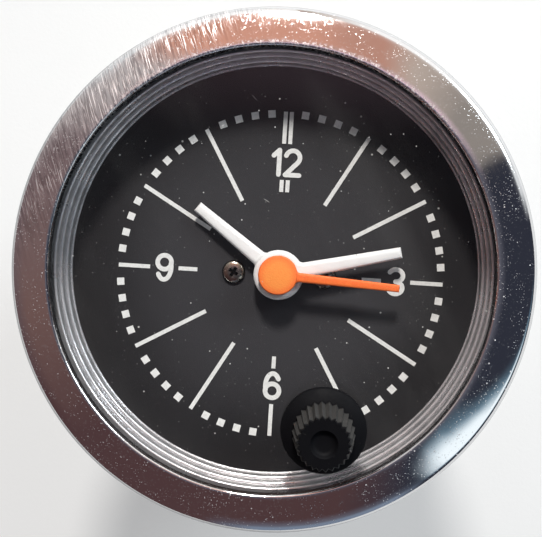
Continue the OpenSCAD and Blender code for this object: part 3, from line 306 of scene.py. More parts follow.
# The places on the two ramps are parts of a turn, clockwise from twelve.
walls = air.node("ShaderNodeValToRGB", {"stops": [
    (0, copper_wall), (0.035, dusky_copper), (0.055, dusky_copper), (0.083, pale_wall),
    (0.125, grey_wall), (0.16, grey_wall), (0.172, dark_side), (0.41, dark_side),
    (0.46, brown_floor), (0.63, brown_floor), (0.71, brown_wall), (0.815, mauve_wall),
    (0.86, silver_wall), (0.885, silver_wall), (0.915, copper_wall),
]}, {0: compass})
skirting = air.node("ShaderNodeValToRGB", {"stops": [
    (0, pale_wall), (0.05, lamp_glow), (0.1, lamp_glow), (0.15, far_glow),
    (0.19, far_glow), (0.21, dark_side), (0.4, dark_side), (0.42, table_shade),
    (0.51, table_shade), (0.54, brown_floor), (0.66, brown_floor), (0.79, mauve_wall),
    (0.845, silver_wall), (0.885, far_glow), (0.905, lamp_glow),
]}, {0: compass})
seen = rise.between(0.58, 0.74).blend(skirting, walls)
window_turn = 0.361
window_rise = 0.61
window_half_w = 0.045
window_half_h = 0.335
window_lean = 0.167
upright_rise = 0.67
leaning = (rise - upright_rise) * window_lean
window_side = (compass - window_turn - leaning) / window_half_w
window_up = (rise - window_rise) / window_half_h
window_far = (window_side * window_side + window_up * window_up).maths("SQRT")
jamb = 1 - compass.between(0.38, 0.41)
seen = (jamb - jamb * window_far.between(0.65, 1.6)).blend(seen, window_sky)
seen = (jamb - jamb * window_far.between(0.45, 1.1)).blend(seen, window_glass)
ceiling = towards.axis("Y").between(0.12, 0.24).blend(dark_ceiling, rosy_ceiling)
ceiling = towards.axis("Y").between(0.25, 0.3).blend(ceiling, grey_ceiling)
seen = rise.between(0.93, 0.98).blend(seen, ceiling)
window_ward = 0.77 * towards.axis("X") - 0.64 * towards.axis("Y")
ambient = window_ward.between(-0.8, 0.8).blend(warm_air, cool_air)
is_camera = air.node(rays, out="Is Camera Ray")
is_mirror = air.node(rays, out="Is Glossy Ray")
sky = is_camera.blend(is_mirror.blend(ambient, seen), backdrop)
room.node_tree.links.new(sky.socket, room.node_tree.nodes["Background"].inputs["Color"])


# Case: a can drawn from sheet steel and zinc plated, its mouth bent out into a flange
# and its rear edge rolled in over the pressed cover.
def coat(names, material):
    """Gives CAD nodes a finish."""
    for name in names:
        nodes[name].material_slots[0].material = material


def plated_steel(colour, dark, streak):
    """Plated or ground steel: cloudy, with dull handling marks and lines that streak stretches."""

    def feed(wire):
        points = wire.object_points()
        cloud = points.noise(9 * mm, 4).between(0.3, 0.7)
        lines = points.placed(stretch=streak).noise(1 * mm, 4)
        marks = points.noise(2.2 * mm, 5, 0.7).between(0.6, 0.74)
        tone_mask = cloud * 0.25 + marks * 0.3 + lines.between(0.4, 0.65) * 0.4
        return {
            "Base Color": tone_mask.blend(colour, dark),
            "Roughness": 0.24 + 0.08 * cloud + 0.12 * marks + 0.06 * lines,
            "Normal": lines.bump(0.012 * mm),
        }

    return feed


drawn = plated_steel((0.6, 0.6, 0.58), (0.4, 0.4, 0.395), (0.25, 0.25, 6))
pressed = plated_steel((0.58, 0.58, 0.565), (0.42, 0.42, 0.415), (1.6, 1.6, 1.6))
drawn_zinc = finish("drawn_zinc_steel", {"Metallic": 1}, drawn)
pressed_zinc = finish("pressed_zinc_steel", {"Metallic": 1}, pressed)
coat(["case_can"], drawn_zinc)
coat(["rear_cover"], pressed_zinc)


# Screws and washers: pan-head steel, zinc plated. They pull the cover on to the spacers of the
# movement, hold its plates and stator, and lie under the nuts of the studs.
bright = plated_steel((0.68, 0.68, 0.67), (0.5, 0.5, 0.5), (0.6, 0.6, 0.6))
bright_zinc = finish("bright_zinc", {"Metallic": 1}, bright)
coat(["rear_cover_screws", "plate_screws", "stator_screws", "stud_washers"], bright_zinc)


# Mounting studs: steel, stepped, with a rolled thread on the free end that takes the
# bracket. A nut and a washer clamp each one to the cover.
def pick(piece):
    """Makes a piece the only one selected, and the active one."""
    bpy.ops.object.select_all(action="DESELECT")
    piece.select_set(True)
    bpy.context.view_layer.objects.active = piece


def select(piece, kind, wanted):
    """In edit mode, selects the vertices, edges or faces that pass the test."""
    bpy.ops.mesh.select_mode(type=kind)
    bpy.ops.mesh.select_all(action="DESELECT")
    mesh = bmesh.from_edit_mesh(piece.data)
    for part in {"VERT": mesh.verts, "EDGE": mesh.edges, "FACE": mesh.faces}[kind]:
        if wanted(part):
            part.select_set(True)
    mesh.select_flush_mode()
    bmesh.update_edit_mesh(piece.data)


def smooth(piece, angle=32):
    """Leaves edit mode, and shades a piece smooth but for edges sharper than angle, in degrees."""
    bpy.ops.object.mode_set(mode="OBJECT")
    pick(piece)
    bpy.ops.object.shade_smooth_by_angle(angle=math.radians(angle))
    return piece


def turned(name, corners, rounds=(), steps=96, centre=(0, 0)):
    """Spins a profile of (radius, height) corners round a vertical line through centre.
    A round is a corner's number, the length that is cut from its two edges and its segments."""
    bpy.ops.object.select_all(action="DESELECT")
    bpy.ops.mesh.primitive_plane_add(size=1 * mm, location=(0, 0, 0))
    piece = bpy.context.object
    piece.name = name
    bpy.ops.object.mode_set(mode="EDIT")
    bpy.ops.mesh.select_mode(type="VERT")
    bpy.ops.mesh.merge(type="CENTER")
    points = [Vector((centre[0] + r, centre[1], z)) for r, z in corners]
    bpy.ops.transform.translate(value=points[0])
    for before, after in zip(points, points[1:]):
        bpy.ops.mesh.extrude_region_move(TRANSFORM_OT_translate={"value": after - before})
    bpy.ops.mesh.select_all(action="SELECT")
    bpy.ops.mesh.remove_doubles(threshold=0.001 * mm)
    for number, length, segments in rounds:
        select(piece, "VERT", lambda v: (v.co - points[number]).length < 0.002 * mm)
        bpy.ops.mesh.bevel(offset=length, segments=segments, affect="VERTICES")
    bpy.ops.mesh.select_all(action="SELECT")
    bpy.ops.mesh.spin(steps=steps, angle=2 * math.pi, center=(*centre, 0), axis=(0, 0, 1))
    bpy.ops.mesh.select_all(action="SELECT")
    bpy.ops.mesh.remove_doubles(threshold=0.001 * mm)
    bpy.ops.mesh.normals_make_consistent(inside=False)
    return smooth(piece)


def join(name, pieces):
    """Makes one piece of several."""
    pick(pieces[0])
    for piece in pieces[1:]:
        piece.select_set(True)
    bpy.ops.object.join()
    pieces[0].name = name
    return pieces[0]


def combine(piece, other, operation):
    """Cuts piece with the other solid, or keeps what they share, and removes the other."""
    pick(piece)
    modifier = piece.modifiers.new("cut", "BOOLEAN")
    modifier.operation = operation
    modifier.object = other
    modifier.solver = "EXACT"
    bpy.ops.object.modifier_apply(modifier=modifier.name)
    bpy.data.objects.remove(other)
    return piece


def stand_for(piece, node, material):
    """The piece takes a CAD node's place, on the node's body."""
    piece.data.materials.clear()
    piece.data.materials.append(material)
    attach(piece, nodes[node]["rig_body"])
    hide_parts(node)


stud_low, stud_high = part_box("mounting_studs")
nut_low, nut_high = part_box("stud_nuts")
head_r = stud_high.y
stud_x = stud_high.x - head_r
shank_r = 2.5 * mm
free_r = 2 * mm
thread_pitch = 0.7 * mm
thread_depth = 0.3 * mm
thread_root_r = free_r - thread_depth
head_t = 1 * mm
head_round = 0.3 * mm
end_chamfer = 0.1 * mm
stud_profile = [(0, stud_low.z), (thread_root_r, stud_low.z)]
for number in range(int((nut_low.z - stud_low.z) / thread_pitch) - 1):
    root = stud_low.z + (number + 0.5) * thread_pitch
    stud_profile += [(thread_root_r, root), (free_r, root + thread_pitch * 0.4)]
    stud_profile += [(free_r, root + thread_pitch * 0.6)]
stud_profile += [(thread_root_r, nut_low.z), (shank_r, nut_low.z)]
stud_profile += [(shank_r, stud_high.z - head_t), (head_r, stud_high.z - head_t)]
stud_profile += [(head_r, stud_high.z), (0, stud_high.z)]
stud_rounds = [(len(stud_profile) - 2, head_round, 3), (1, end_chamfer, 1)]
studs = []
for side in (-1, 1):
    studs.append(turned("stud", stud_profile, stud_rounds, steps=40, centre=(side * stud_x, 0)))
stand_for(join("mounting_stud_pair", studs), "mounting_studs", bright_zinc)

nut_r = nut_high.x - stud_x
nut_bore_r = shank_r + 0.02 * mm
nut_sink = 0.4 * mm
nut_fall = 0.45 * mm
nut_face_r = 0.97 * nut_r * math.cos(math.radians(30))
nut_clear_r = 1.02 * nut_r
nuts = []
for side in (-1, 1):
    place = (side * stud_x, 0, (nut_low.z + nut_high.z) / 2)
    bpy.ops.object.select_all(action="DESELECT")
    bpy.ops.mesh.primitive_cylinder_add(
        vertices=6, radius=nut_r, depth=nut_high.z - nut_low.z, location=(0, 0, 0)
    )
    nut = bpy.context.object
    bpy.ops.object.mode_set(mode="EDIT")
    bpy.ops.transform.rotate(value=math.radians(30), orient_axis="Z", center_override=(0, 0, 0))
    bpy.ops.transform.translate(value=place)
    bpy.ops.object.mode_set(mode="OBJECT")
    envelope = turned("envelope", [
        (0, nut_low.z), (nut_face_r, nut_low.z), (nut_clear_r, nut_low.z + nut_fall),
        (nut_clear_r, nut_high.z - nut_fall), (nut_face_r, nut_high.z), (0, nut_high.z),
    ], steps=72, centre=place[:2])
    combine(nut, envelope, "INTERSECT")
    bore = turned("bore", [
        (0, nut_low.z - mm), (nut_bore_r + nut_sink + mm, nut_low.z - mm),
        (nut_bore_r, nut_low.z + nut_sink), (nut_bore_r, nut_high.z + mm), (0, nut_high.z + mm),
    ], steps=48, centre=place[:2])
    combine(nut, bore, "DIFFERENCE")
    nuts.append(smooth(nut))
stand_for(join("stud_nut_pair", nuts), "stud_nuts", bright_zinc)


# Terminal block and blades: a black phenolic moulding that fills the slot in the cover, with
# three pushed-in brass blades, each with a pointed end and the usual locking hole.
def moulded(colour, varied, roughness=0.42):
    """Moulded plastic: one colour with faint clouding, a fine skin texture and rubbed patches."""

    def feed(wire):
        points = wire.object_points()
        cloud = points.noise(5 * mm, 3).between(0.35, 0.75)
        skin = points.noise(0.25 * mm, 3, 0.6)
        rubbed = points.noise(1.4 * mm, 5, 0.65).between(0.6, 0.75)
        return {
            "Base Color": (cloud * 0.35 + rubbed * 0.5).blend(colour, varied),
            "Roughness": roughness + 0.12 * cloud + 0.1 * skin,
            "Normal": skin.bump(0.02 * mm),
        }

    return feed


def edit(piece):
    """Opens a piece alone in edit mode."""
    pick(piece)
    bpy.ops.object.mode_set(mode="EDIT")


def softened(node, width, segments):
    """A copy of a CAD node with its sharp edges rounded, at the same place."""
    piece = bpy.data.objects.new(node + ".rounded", nodes[node].data.copy())
    bpy.context.scene.collection.objects.link(piece)
    edit(piece)
    bpy.ops.mesh.customdata_custom_splitnormals_clear()
    bpy.ops.mesh.select_all(action="SELECT")
    bpy.ops.mesh.remove_doubles(threshold=0.001 * mm)
    bpy.ops.mesh.dissolve_limited(angle_limit=math.radians(1))
    bpy.ops.object.mode_set(mode="OBJECT")
    modifier = piece.modifiers.new("rounded", "BEVEL")
    modifier.width = width
    modifier.segments = segments
    modifier.limit_method = "ANGLE"
    modifier.angle_limit = math.radians(50)
    bpy.ops.object.modifier_apply(modifier=modifier.name)
    return smooth(piece)


phenolic = finish("black_phenolic", {}, moulded((0.022, 0.021, 0.021), (0.06, 0.058, 0.055)))
block = softened("terminal_block", width=0.25 * mm, segments=3)
stand_for(block, "terminal_block", phenolic)


def tarnished(colour, dark):
    """Bare metal: polished, with tarnish in patches and fine turning marks."""

    def feed(wire):
        points = wire.object_points()
        patches = points.noise(3 * mm, 5, 0.6).between(0.42, 0.7)
        fine = points.noise(0.12 * mm, 2)
        return {
            "Base Color": (patches * 0.8).blend(colour, dark),
            "Roughness": 0.24 + 0.22 * patches + 0.05 * fine,
            "Normal": fine.bump(0.006 * mm),
        }

    return feed


def middle(part):
    """The middle of an edge or a face."""
    return sum((v.co for v in part.verts), Vector()) / len(part.verts)


brass = finish("brass", {"Metallic": 1}, tarnished((0.83, 0.62, 0.28), (0.52, 0.34, 0.13)))
blades_low, blades_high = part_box("terminal_blades")
blade_t = 0.8 * mm
blade_w = blades_high.y - blades_low.y
blade_mid_y = (blades_high.y + blades_low.y) / 2
blade_pitch = (blades_high.x - blades_low.x - blade_t) / 2
tip_z = blades_low.z + 0.01 * mm
tip_chamfer = 1.1 * mm
tip_round = 0.25 * mm
lock_hole_r = 0.9 * mm
lock_hole_z = blades_low.z + 3.4 * mm


def tip_corner(edge):
    return middle(edge).z < tip_z and abs(middle(edge).y - blade_mid_y) > blade_w * 0.4


blades = []
for number in (-1, 0, 1):
    bpy.ops.object.select_all(action="DESELECT")
    bpy.ops.mesh.primitive_cube_add(size=1, location=(0, 0, 0))
    blade = bpy.context.object
    bpy.ops.object.mode_set(mode="EDIT")
    bpy.ops.transform.resize(value=(blade_t, blade_w, blades_high.z - blades_low.z))
    bpy.ops.transform.translate(
        value=(number * blade_pitch, blade_mid_y, (blades_low.z + blades_high.z) / 2)
    )
    select(blade, "EDGE", tip_corner)
    bpy.ops.mesh.bevel(offset=tip_chamfer, segments=1, affect="EDGES")
    select(blade, "EDGE", lambda e: middle(e).z < tip_z)
    bpy.ops.mesh.bevel(offset=tip_round, segments=2, affect="EDGES")
    bpy.ops.object.mode_set(mode="OBJECT")
    bpy.ops.object.select_all(action="DESELECT")
    bpy.ops.mesh.primitive_cylinder_add(
        vertices=32, radius=lock_hole_r, depth=4 * blade_t, rotation=(0, math.pi / 2, 0),
        location=(number * blade_pitch, blade_mid_y, lock_hole_z)
    )
    combine(blade, bpy.context.object, "DIFFERENCE")
    blades.append(smooth(blade))
stand_for(join("terminal_blade_set", blades), "terminal_blades", brass)


# Dial light: a black push-in holder with a brass contact strip, and a small clear bulb
# that shines up past the plates.
holder = softened("lamp_holder", width=0.2 * mm, segments=2)
stand_for(holder, "lamp_holder", phenolic)
coat(["lamp_contact", "bulb_cap"], brass)


def bulb_envelope(wire):
    dust = wire.object_points().noise(1.5 * mm, 4)
    return {"Roughness": 0.04 + 0.08 * dust}


bulb = {"Base Color": (0.98, 0.97, 0.93, 1), "Transmission Weight": 1, "IOR": 1.5}
coat(["bulb_glass"], finish("bulb_glass", bulb, bulb_envelope))


# Movement plates and spacers: three natural acetal plates on turned brass pillars, which
# carry every arbor of the movement.
acetal = moulded((0.72, 0.66, 0.52), (0.62, 0.55, 0.4), roughness=0.5)
coat(["front_plate", "middle_plate", "back_plate"], finish("natural_acetal", {}, acetal))
coat(["rear_spacers", "board_spacers", "train_pillars", "motion_pillars"], brass)


# Wheels: brass blanks with cut teeth, and steel arbors, clip and washers. The clutch washer
# lets the hands be set while the train stands still.
coat([
    "hour_wheel", "minute_wheel", "cannon_pinion", "centre_wheel", "third_wheel", "seconds_wheel",
    "intermediate_wheel", "setting_pinion",
], brass)
ground = plated_steel((0.66, 0.66, 0.67), (0.5, 0.5, 0.51), (0.2, 0.2, 1))
polished = finish("polished_steel", {"Metallic": 1}, ground)
coat(["rotor", "clutch_washer", "setting_stem", "stem_clip", "stem_washer"], polished)


# Return spring: steel wire wound round the setting stem, between the back plate and the washer
# under the stem's clip. The knob's push travel is read, but the spring keeps its full wound length.
spring_low, spring_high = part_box("stem_spring")
spring_place = ((spring_low.x + spring_high.x) / 2, (spring_low.y + spring_high.y) / 2)
spring_wire_r = 0.2 * mm
spring_turns = 6
spring_r = (spring_high.x - spring_low.x) / 2 - spring_wire_r
spring_len = spring_high.z - spring_low.z
bpy.ops.object.select_all(action="DESELECT")
bpy.ops.mesh.primitive_circle_add(vertices=12, radius=spring_wire_r, location=(0, 0, 0))
spring = bpy.context.object
spring.name = "stem_spring.wound"
bpy.ops.object.mode_set(mode="EDIT")
bpy.ops.transform.rotate(value=math.pi / 2, orient_axis="X", center_override=(0, 0, 0))
bpy.ops.transform.translate(value=(spring_r, 0, spring_low.z + spring_wire_r))
bpy.ops.object.mode_set(mode="OBJECT")
winding = spring.modifiers.new("winding", "SCREW")
winding.screw_offset = (spring_len - 2 * spring_wire_r) / spring_turns
winding.iterations = spring_turns
winding.steps = 32
winding.render_steps = 32
bpy.ops.object.modifier_apply(modifier=winding.name)
edit(spring)
bpy.ops.mesh.select_all(action="SELECT")
bpy.ops.mesh.fill_holes(sides=12)
bpy.ops.mesh.normals_make_consistent(inside=False)
bpy.ops.transform.translate(value=(*spring_place, 0))
stand_for(smooth(spring, 60), "stem_spring", polished)
push = next(joint for joint in frame["joints"] if joint["name"] == "knob_push")
push_travel = push["range_m"][1] - push["range_m"][0]
1 - push_travel / spring_len
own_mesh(spring)


# Motor: soft iron stator and core, a sintered magnet on the rotor, and a nylon bobbin
# wound with enamelled copper wire.
iron = tarnished((0.42, 0.42, 0.43), (0.25, 0.24, 0.23))
sintered = tarnished((0.2, 0.2, 0.21), (0.13, 0.13, 0.13))
nylon = moulded((0.8, 0.77, 0.68), (0.7, 0.66, 0.55))
coat(["stator", "coil_core"], finish("soft_iron", {"Metallic": 1}, iron))
coat(["rotor_magnet"], finish("sintered_magnet", {"Metallic": 1}, sintered))
coat(["coil_bobbin"], finish("natural_nylon", {}, nylon))
wire_pitch = 0.1 * mm


def wound_copper(wire):
    points = wire.object_points()
    turns = (points.axis("X") * (2 * math.pi / wire_pitch)).maths("SINE")
    tone = points.noise(1.2 * mm, 3)
    return {
        "Base Color": tone.blend((0.62, 0.24, 0.1), (0.8, 0.42, 0.2)),
        "Roughness": 0.28 + 0.12 * tone,
        "Normal": turns.bump(0.02 * mm),
    }


coat(["coil_winding"], finish("enamelled_copper", {"Metallic": 1}, wound_copper))


# Circuit board: glass epoxy under green mask, with the chip, the quartz can and
# one capacitor soldered to it.
def solder_mask(wire):
    points = wire.object_points()
    weave_a = points.placed(stretch=(1, 5, 1)).noise(0.4 * mm, 2)
    weave_b = points.placed(stretch=(5, 1, 1)).noise(0.4 * mm, 2)
    tracks = points.placed(turn=0.4).noise(3 * mm, 0).between(0.48, 0.5)
    return {
        "Base Color": tracks.blend((0.012, 0.09, 0.035), (0.03, 0.17, 0.06)),
        "Roughness": 0.25 + 0.12 * weave_a,
        "Normal": (weave_a + weave_b + tracks).bump(0.015 * mm),
    }


coat(["circuit_board"], finish("green_mask", {}, solder_mask))
coat(["clock_chip"], phenolic)
can_metal = tarnished((0.75, 0.75, 0.76), (0.58, 0.58, 0.6))
sleeve = moulded((0.02, 0.03, 0.14), (0.05, 0.06, 0.2), roughness=0.3)
coat(["quartz_can"], finish("drawn_can", {"Metallic": 1}, can_metal))
coat(["capacitor"], finish("blue_sleeve", {}, sleeve))


# Dial: an aluminium disc in matte black lacquer, with dust and short lint that got in under the
# crystal. The lacquer is painted darker from the middle out towards the ring, a painted shade.
def dusty_lacquer(wire):
    points = wire.object_points()
    cloud = points.noise(16 * mm, 3).between(0.3, 0.7)
    tooth = points.noise(0.09 * mm, 2)
    fine_dust = points.specks(0.75 * mm, 0.1) * points.noise(4 * mm, 2).between(0.4, 0.58)
    large_dust = points.specks(3.1 * mm, 0.05)
    lint = points.placed(turn=0.8, stretch=(1, 8, 1)).specks(2.6 * mm, 0.035)
    more_lint = points.placed(turn=-0.5, stretch=(7, 1, 1)).specks(3.4 * mm, 0.026)
    dust = (fine_dust * 0.35).maths("MAXIMUM", large_dust).maths("MAXIMUM", lint * 0.5)
    dust = dust.maths("MAXIMUM", more_lint * 0.5)
    # Painted shade: lighter in the middle and darker towards the ring, with some cloudy tone.
    tone_mask = (1 - points.from_line().between(11 * mm, 23 * mm)) * 0.85 + cloud * 0.15
    lacquer_and_painted_shade = tone_mask.blend((0.0055, 0.005, 0.0055), (0.034, 0.0325, 0.0355))
    return {
        "Base Color": dust.blend(lacquer_and_painted_shade, (0.5, 0.49, 0.47)),
        "Roughness": 0.62 + 0.12 * tooth,
        "Normal": tooth.bump(0.012 * mm),
    }


coat(["dial"], finish("matte_black_lacquer", {"Specular IOR Level": 0.25}, dusty_lacquer))


# Dial print: off-white ink, pad printed, a little thin and uneven where the pad
# lifted off.
def ink(wire):
    points = wire.object_points()
    thin = points.noise(0.5 * mm, 4, 0.6).between(0.35, 0.75)
    return {
        "Base Color": thin.blend((0.8, 0.79, 0.76), (0.68, 0.67, 0.65)),
        "Roughness": 0.5 + 0.15 * thin,
        "Normal": thin.bump(0.01 * mm),
    }


coat(["dial_markings"], finish("off_white_ink", {}, ink))


# Dial screws: two small round-head steel screws, each with a cross recess. Below the crown of
# the head they are painted near black, a painted shade in the recess and round the edge, and
# the bright steel left on the crown is a painted highlight.
dial_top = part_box("dial")[1].z
screw_low, screw_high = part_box("dial_screws")
screw_head_r = (screw_high.y - screw_low.y) / 2
screw_y = (screw_high.y + screw_low.y) / 2
screw_thread_r = 0.68 * mm
recess_w = 0.5 * mm
recess_l = 1.7 * mm
recess_h = 0.4 * mm
recess_turn = 0.5


def shaded_screw_steel(wire):
    points = wire.object_points()
    varied = points.noise(0.5 * mm, 3).between(0.5, 0.75)
    # Painted shade and highlight: near black below the crown, in the recess and round the edge,
    # bright steel on the crown.
    top = points.axis("Z").between(screw_high.z - 0.26 * mm, screw_high.z - 0.1 * mm)
    steel = varied.blend((0.34, 0.3, 0.25), (0.6, 0.54, 0.45))
    return {
        "Base Color": top.blend((0.03, 0.027, 0.023), steel),
        "Roughness": 0.2 + 0.12 * varied,
        "Normal": points.noise(0.3 * mm, 2).bump(0.006 * mm),
    }


screw_profile = [
    (0, screw_low.z), (screw_thread_r, screw_low.z), (screw_thread_r, dial_top),
    (screw_head_r, dial_top), (screw_head_r, screw_high.z - 0.3 * mm),
    (screw_head_r * 0.8, screw_high.z - 0.08 * mm), (screw_head_r * 0.45, screw_high.z),
    (0, screw_high.z),
]
screw_rounds = [(4, 0.12 * mm, 3), (5, 0.2 * mm, 4), (6, 0.2 * mm, 4)]
dial_screws = []
for screw_x in (screw_low.x + screw_head_r, screw_high.x - screw_head_r):
    screw = turned("dial_screw", screw_profile, screw_rounds, steps=64, centre=(screw_x, screw_y))
    for lean in (recess_turn, recess_turn + math.pi / 2):
        bpy.ops.object.select_all(action="DESELECT")
        bpy.ops.mesh.primitive_cube_add(size=1, location=(0, 0, 0))
        slot_cut = bpy.context.object
        bpy.ops.object.mode_set(mode="EDIT")
        bpy.ops.transform.resize(value=(recess_l, recess_w, 2 * recess_h))
        select(slot_cut, "FACE", lambda f: f.normal.z < -0.5)
        bpy.ops.transform.resize(value=(0.5, 0.6, 1))
        bpy.ops.mesh.select_all(action="SELECT")
        bpy.ops.transform.rotate(value=lean, orient_axis="Z", center_override=(0, 0, 0))
        bpy.ops.transform.translate(value=(screw_x, screw_y, screw_high.z))
        bpy.ops.object.mode_set(mode="OBJECT")
        combine(screw, slot_cut, "DIFFERENCE")
    dial_screws.append(smooth(screw))
screw_steel_painted_shade = finish("screw_steel_painted_shade", {"Metallic": 1}, shaded_screw_steel)
stand_for(join("dial_screw_pair", dial_screws), "dial_screws", screw_steel_painted_shade)


# Hour and minute hands: white acetal mouldings with crowned tops, pressed on to the tubes
# of the movement. Each is one flat outline, raised and rounded.
def hand_blank(name, hub_r, length, root_w, tip_w, thickness, fillet):
    """A hub with a blade towards +Y, flat, of this thickness, standing on z = 0."""
    sides = 36
    bpy.ops.object.select_all(action="DESELECT")
    bpy.ops.mesh.primitive_circle_add(
        vertices=sides, radius=hub_r, fill_type="NGON", location=(0, 0, 0)
    )
    piece = bpy.context.object
    piece.name = name
    bpy.ops.object.mode_set(mode="EDIT")

    def at_root(v):
        return hub_r * 0.9 < v.co.y < hub_r * 1.1 and abs(v.co.x) < root_w * 0.6

    def root_corner(v):
        return abs(abs(v.co.x) - root_w / 2) < 0.02 * mm and v.co.y < hub_r * 1.1

    def root_edge(e):
        return middle(e).y > 0 and all(abs(v.co.x) < root_w * 0.6 for v in e.verts)

    select(piece, "EDGE", root_edge)
    bpy.ops.mesh.extrude_region_move(TRANSFORM_OT_translate={"value": (0, length - hub_r, 0)})
    tip_mid = (0, length, 0)
    bpy.ops.transform.resize(value=(1, 0, 1), center_override=tip_mid)
    mesh = bmesh.from_edit_mesh(piece.data)
    tip_half = max(v.co.x for v in mesh.verts if v.co.y > hub_r * 1.2)
    bpy.ops.transform.resize(value=(tip_w / 2 / tip_half, 1, 1), center_override=tip_mid)
    select(piece, "VERT", at_root)
    bpy.ops.transform.resize(value=(root_w / 2 / tip_half, 1, 1), center_override=(0, hub_r, 0))
    bpy.ops.mesh.select_all(action="SELECT")
    bpy.ops.mesh.dissolve_faces()
    select(piece, "VERT", lambda v: abs(v.co.x) < tip_w * 0.45 and v.co.y > length - 0.01 * mm)
    bpy.ops.mesh.dissolve_verts()
    select(piece, "VERT", root_corner)
    bpy.ops.mesh.bevel(offset=fillet, segments=6, affect="VERTICES")
    bpy.ops.mesh.select_all(action="SELECT")
    bpy.ops.mesh.extrude_region_move(TRANSFORM_OT_translate={"value": (0, 0, thickness)})
    bpy.ops.mesh.select_all(action="SELECT")
    bpy.ops.mesh.normals_make_consistent(inside=False)
    bpy.ops.object.mode_set(mode="OBJECT")
    return piece


def crowned(piece, top, width, rise):
    """Rounds the top of a blank: its outline goes in by width and up by rise, along a
    quarter of an oval."""
    edit(piece)
    select(piece, "FACE", lambda f: f.normal.z > 0.9 and abs(middle(f).z - top) < 0.002 * mm)
    steps = 7
    for number in range(steps):
        here = number / steps * math.pi / 2
        there = (number + 1) / steps * math.pi / 2
        inwards = width * (math.cos(here) - math.cos(there))
        upwards = rise * (math.sin(there) - math.sin(here))
        bpy.ops.mesh.inset(thickness=inwards, depth=upwards)
    bpy.ops.object.mode_set(mode="OBJECT")


def set_hand(piece, clock_angle, place):
    """Turns a finished hand to its place on the dial, within its mesh."""
    edit(piece)
    bpy.ops.mesh.select_all(action="SELECT")
    bpy.ops.transform.rotate(
        value=math.radians(clock_angle), orient_axis="Z", center_override=(0, 0, 0)
    )
    bpy.ops.transform.translate(value=place)
    bpy.ops.object.mode_set(mode="OBJECT")


def white_acetal(wire):
    points = wire.object_points()
    cloud = points.noise(1.6 * mm, 3).between(0.3, 0.7)
    dust = points.specks(0.8 * mm, 0.06)
    return {
        "Base Color": (cloud * 0.5 + dust).blend((0.86, 0.84, 0.82), (0.78, 0.755, 0.74)),
        "Roughness": 0.36 + 0.1 * cloud,
        "Normal": points.noise(0.2 * mm, 2).bump(0.01 * mm),
    }


white_hand = finish("white_acetal", {}, white_acetal)
hands_x = 0.8 * mm
hands_y = -0.5 * mm
hub_r = 2.95 * mm
hand_root_w = 1.85 * mm
hand_tip_w = 1.3 * mm
hand_fillet = 0.45 * mm
crown_w = 0.58 * mm
crown_rise = 0.42 * mm

# Each white hand's length, clock angle and the bore that goes on its tube.
white_hands = {
    "hour_hand": (12.7 * mm, 306.5, 1.12 * mm),
    "minute_hand": (14.7 * mm, 76.2, 0.87 * mm),
}
for node, (length, clock_angle, tube_r) in white_hands.items():
    low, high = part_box(node)
    flat_t = high.z - low.z - crown_rise
    hand = hand_blank(
        node + ".moulded", hub_r, length, hand_root_w, hand_tip_w, flat_t, hand_fillet
    )
    crowned(hand, flat_t, crown_w, crown_rise)
    bore = turned("bore", [(0, -mm), (tube_r, -mm), (tube_r, 2 * mm), (0, 2 * mm)], steps=48)
    combine(hand, bore, "DIFFERENCE")
    set_hand(hand, clock_angle, (hands_x, hands_y, low.z))
    stand_for(smooth(hand, 40), node, white_hand)


# Second hand: one orange moulding, a thin blade that runs with small fillets into a
# flat round cap, pressed on the arbor at the front. The middle of the cap is painted a lighter
# orange, a painted highlight.
def orange_plastic(wire):
    points = wire.object_points()
    mottle = points.noise(0.22 * mm, 4, 0.65).between(0.3, 0.7)
    # Painted highlight: lighter orange in the middle of the cap, deeper red outside it, with
    # mottling.
    outside_painted_glow = points.from_line((hands_x, hands_y)).between(1.2 * mm, 2.4 * mm)
    glow_falloff_and_mottle = outside_painted_glow * 0.75 + mottle * 0.25
    return {
        "Base Color": glow_falloff_and_mottle.blend((0.96, 0.31, 0.055), (0.95, 0.15, 0.022)),
        "Roughness": 0.5 + 0.15 * mottle,
        "Normal": mottle.bump(0.012 * mm),
    }


low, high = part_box("second_hand")
cap_r = 2.3 * mm
cap_foot = 0.1 * mm
cap_top = high.z - low.z
cap_rise = 0.25 * mm
cap_round = 0.2 * mm
second_len = 14.2 * mm
second_root_w = 1.1 * mm
second_tip_w = 0.85 * mm
second_fillet = 0.36 * mm
second_angle = 92.8
blade_crown_w = 0.3 * mm
blade_rise = 0.2 * mm
blade_flat_t = cap_top - cap_rise - blade_rise
second = hand_blank(
    "second_hand.moulded", cap_r, second_len, second_root_w, second_tip_w, blade_flat_t,
    second_fillet
)
crowned(second, blade_flat_t, blade_crown_w, blade_rise)
cap_profile = [(0, cap_foot), (cap_r, cap_foot), (cap_r, cap_top), (0, cap_top)]
cap = turned("cap", cap_profile, [(2, cap_round, 5)])
second = join("second_hand.moulded", [second, cap])
set_hand(second, second_angle, (hands_x, hands_y, low.z))
stand_for(smooth(second, 40), "second_hand", finish("orange_plastic", {}, orange_plastic))


# Reflector ring: thin aluminium, rolled with steps and a bead at its foot, with a bright satin
# face, hung by its lip under the crystal. It throws the lamp's light on to the dial.
ring_low, ring_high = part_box("reflector_ring")
ring_seat_r = ring_high.x
ring_seat_z = 1 * mm
ring_r = 25.5 * mm
ring_top_r = 25.3 * mm
ring_foot_r = 24.5 * mm
ring_steps = 3
ring_ledge = 0.29 * mm
ring_round = 0.26 * mm
bead_w = 0.13 * mm
bead_h = 0.22 * mm
bead_round = 0.11 * mm
bead_top = ring_low.z + bead_h
step_h = (ring_high.z - ring_low.z - bead_h) / ring_steps
step_w = (ring_top_r - ring_foot_r - bead_w + ring_ledge) / ring_steps


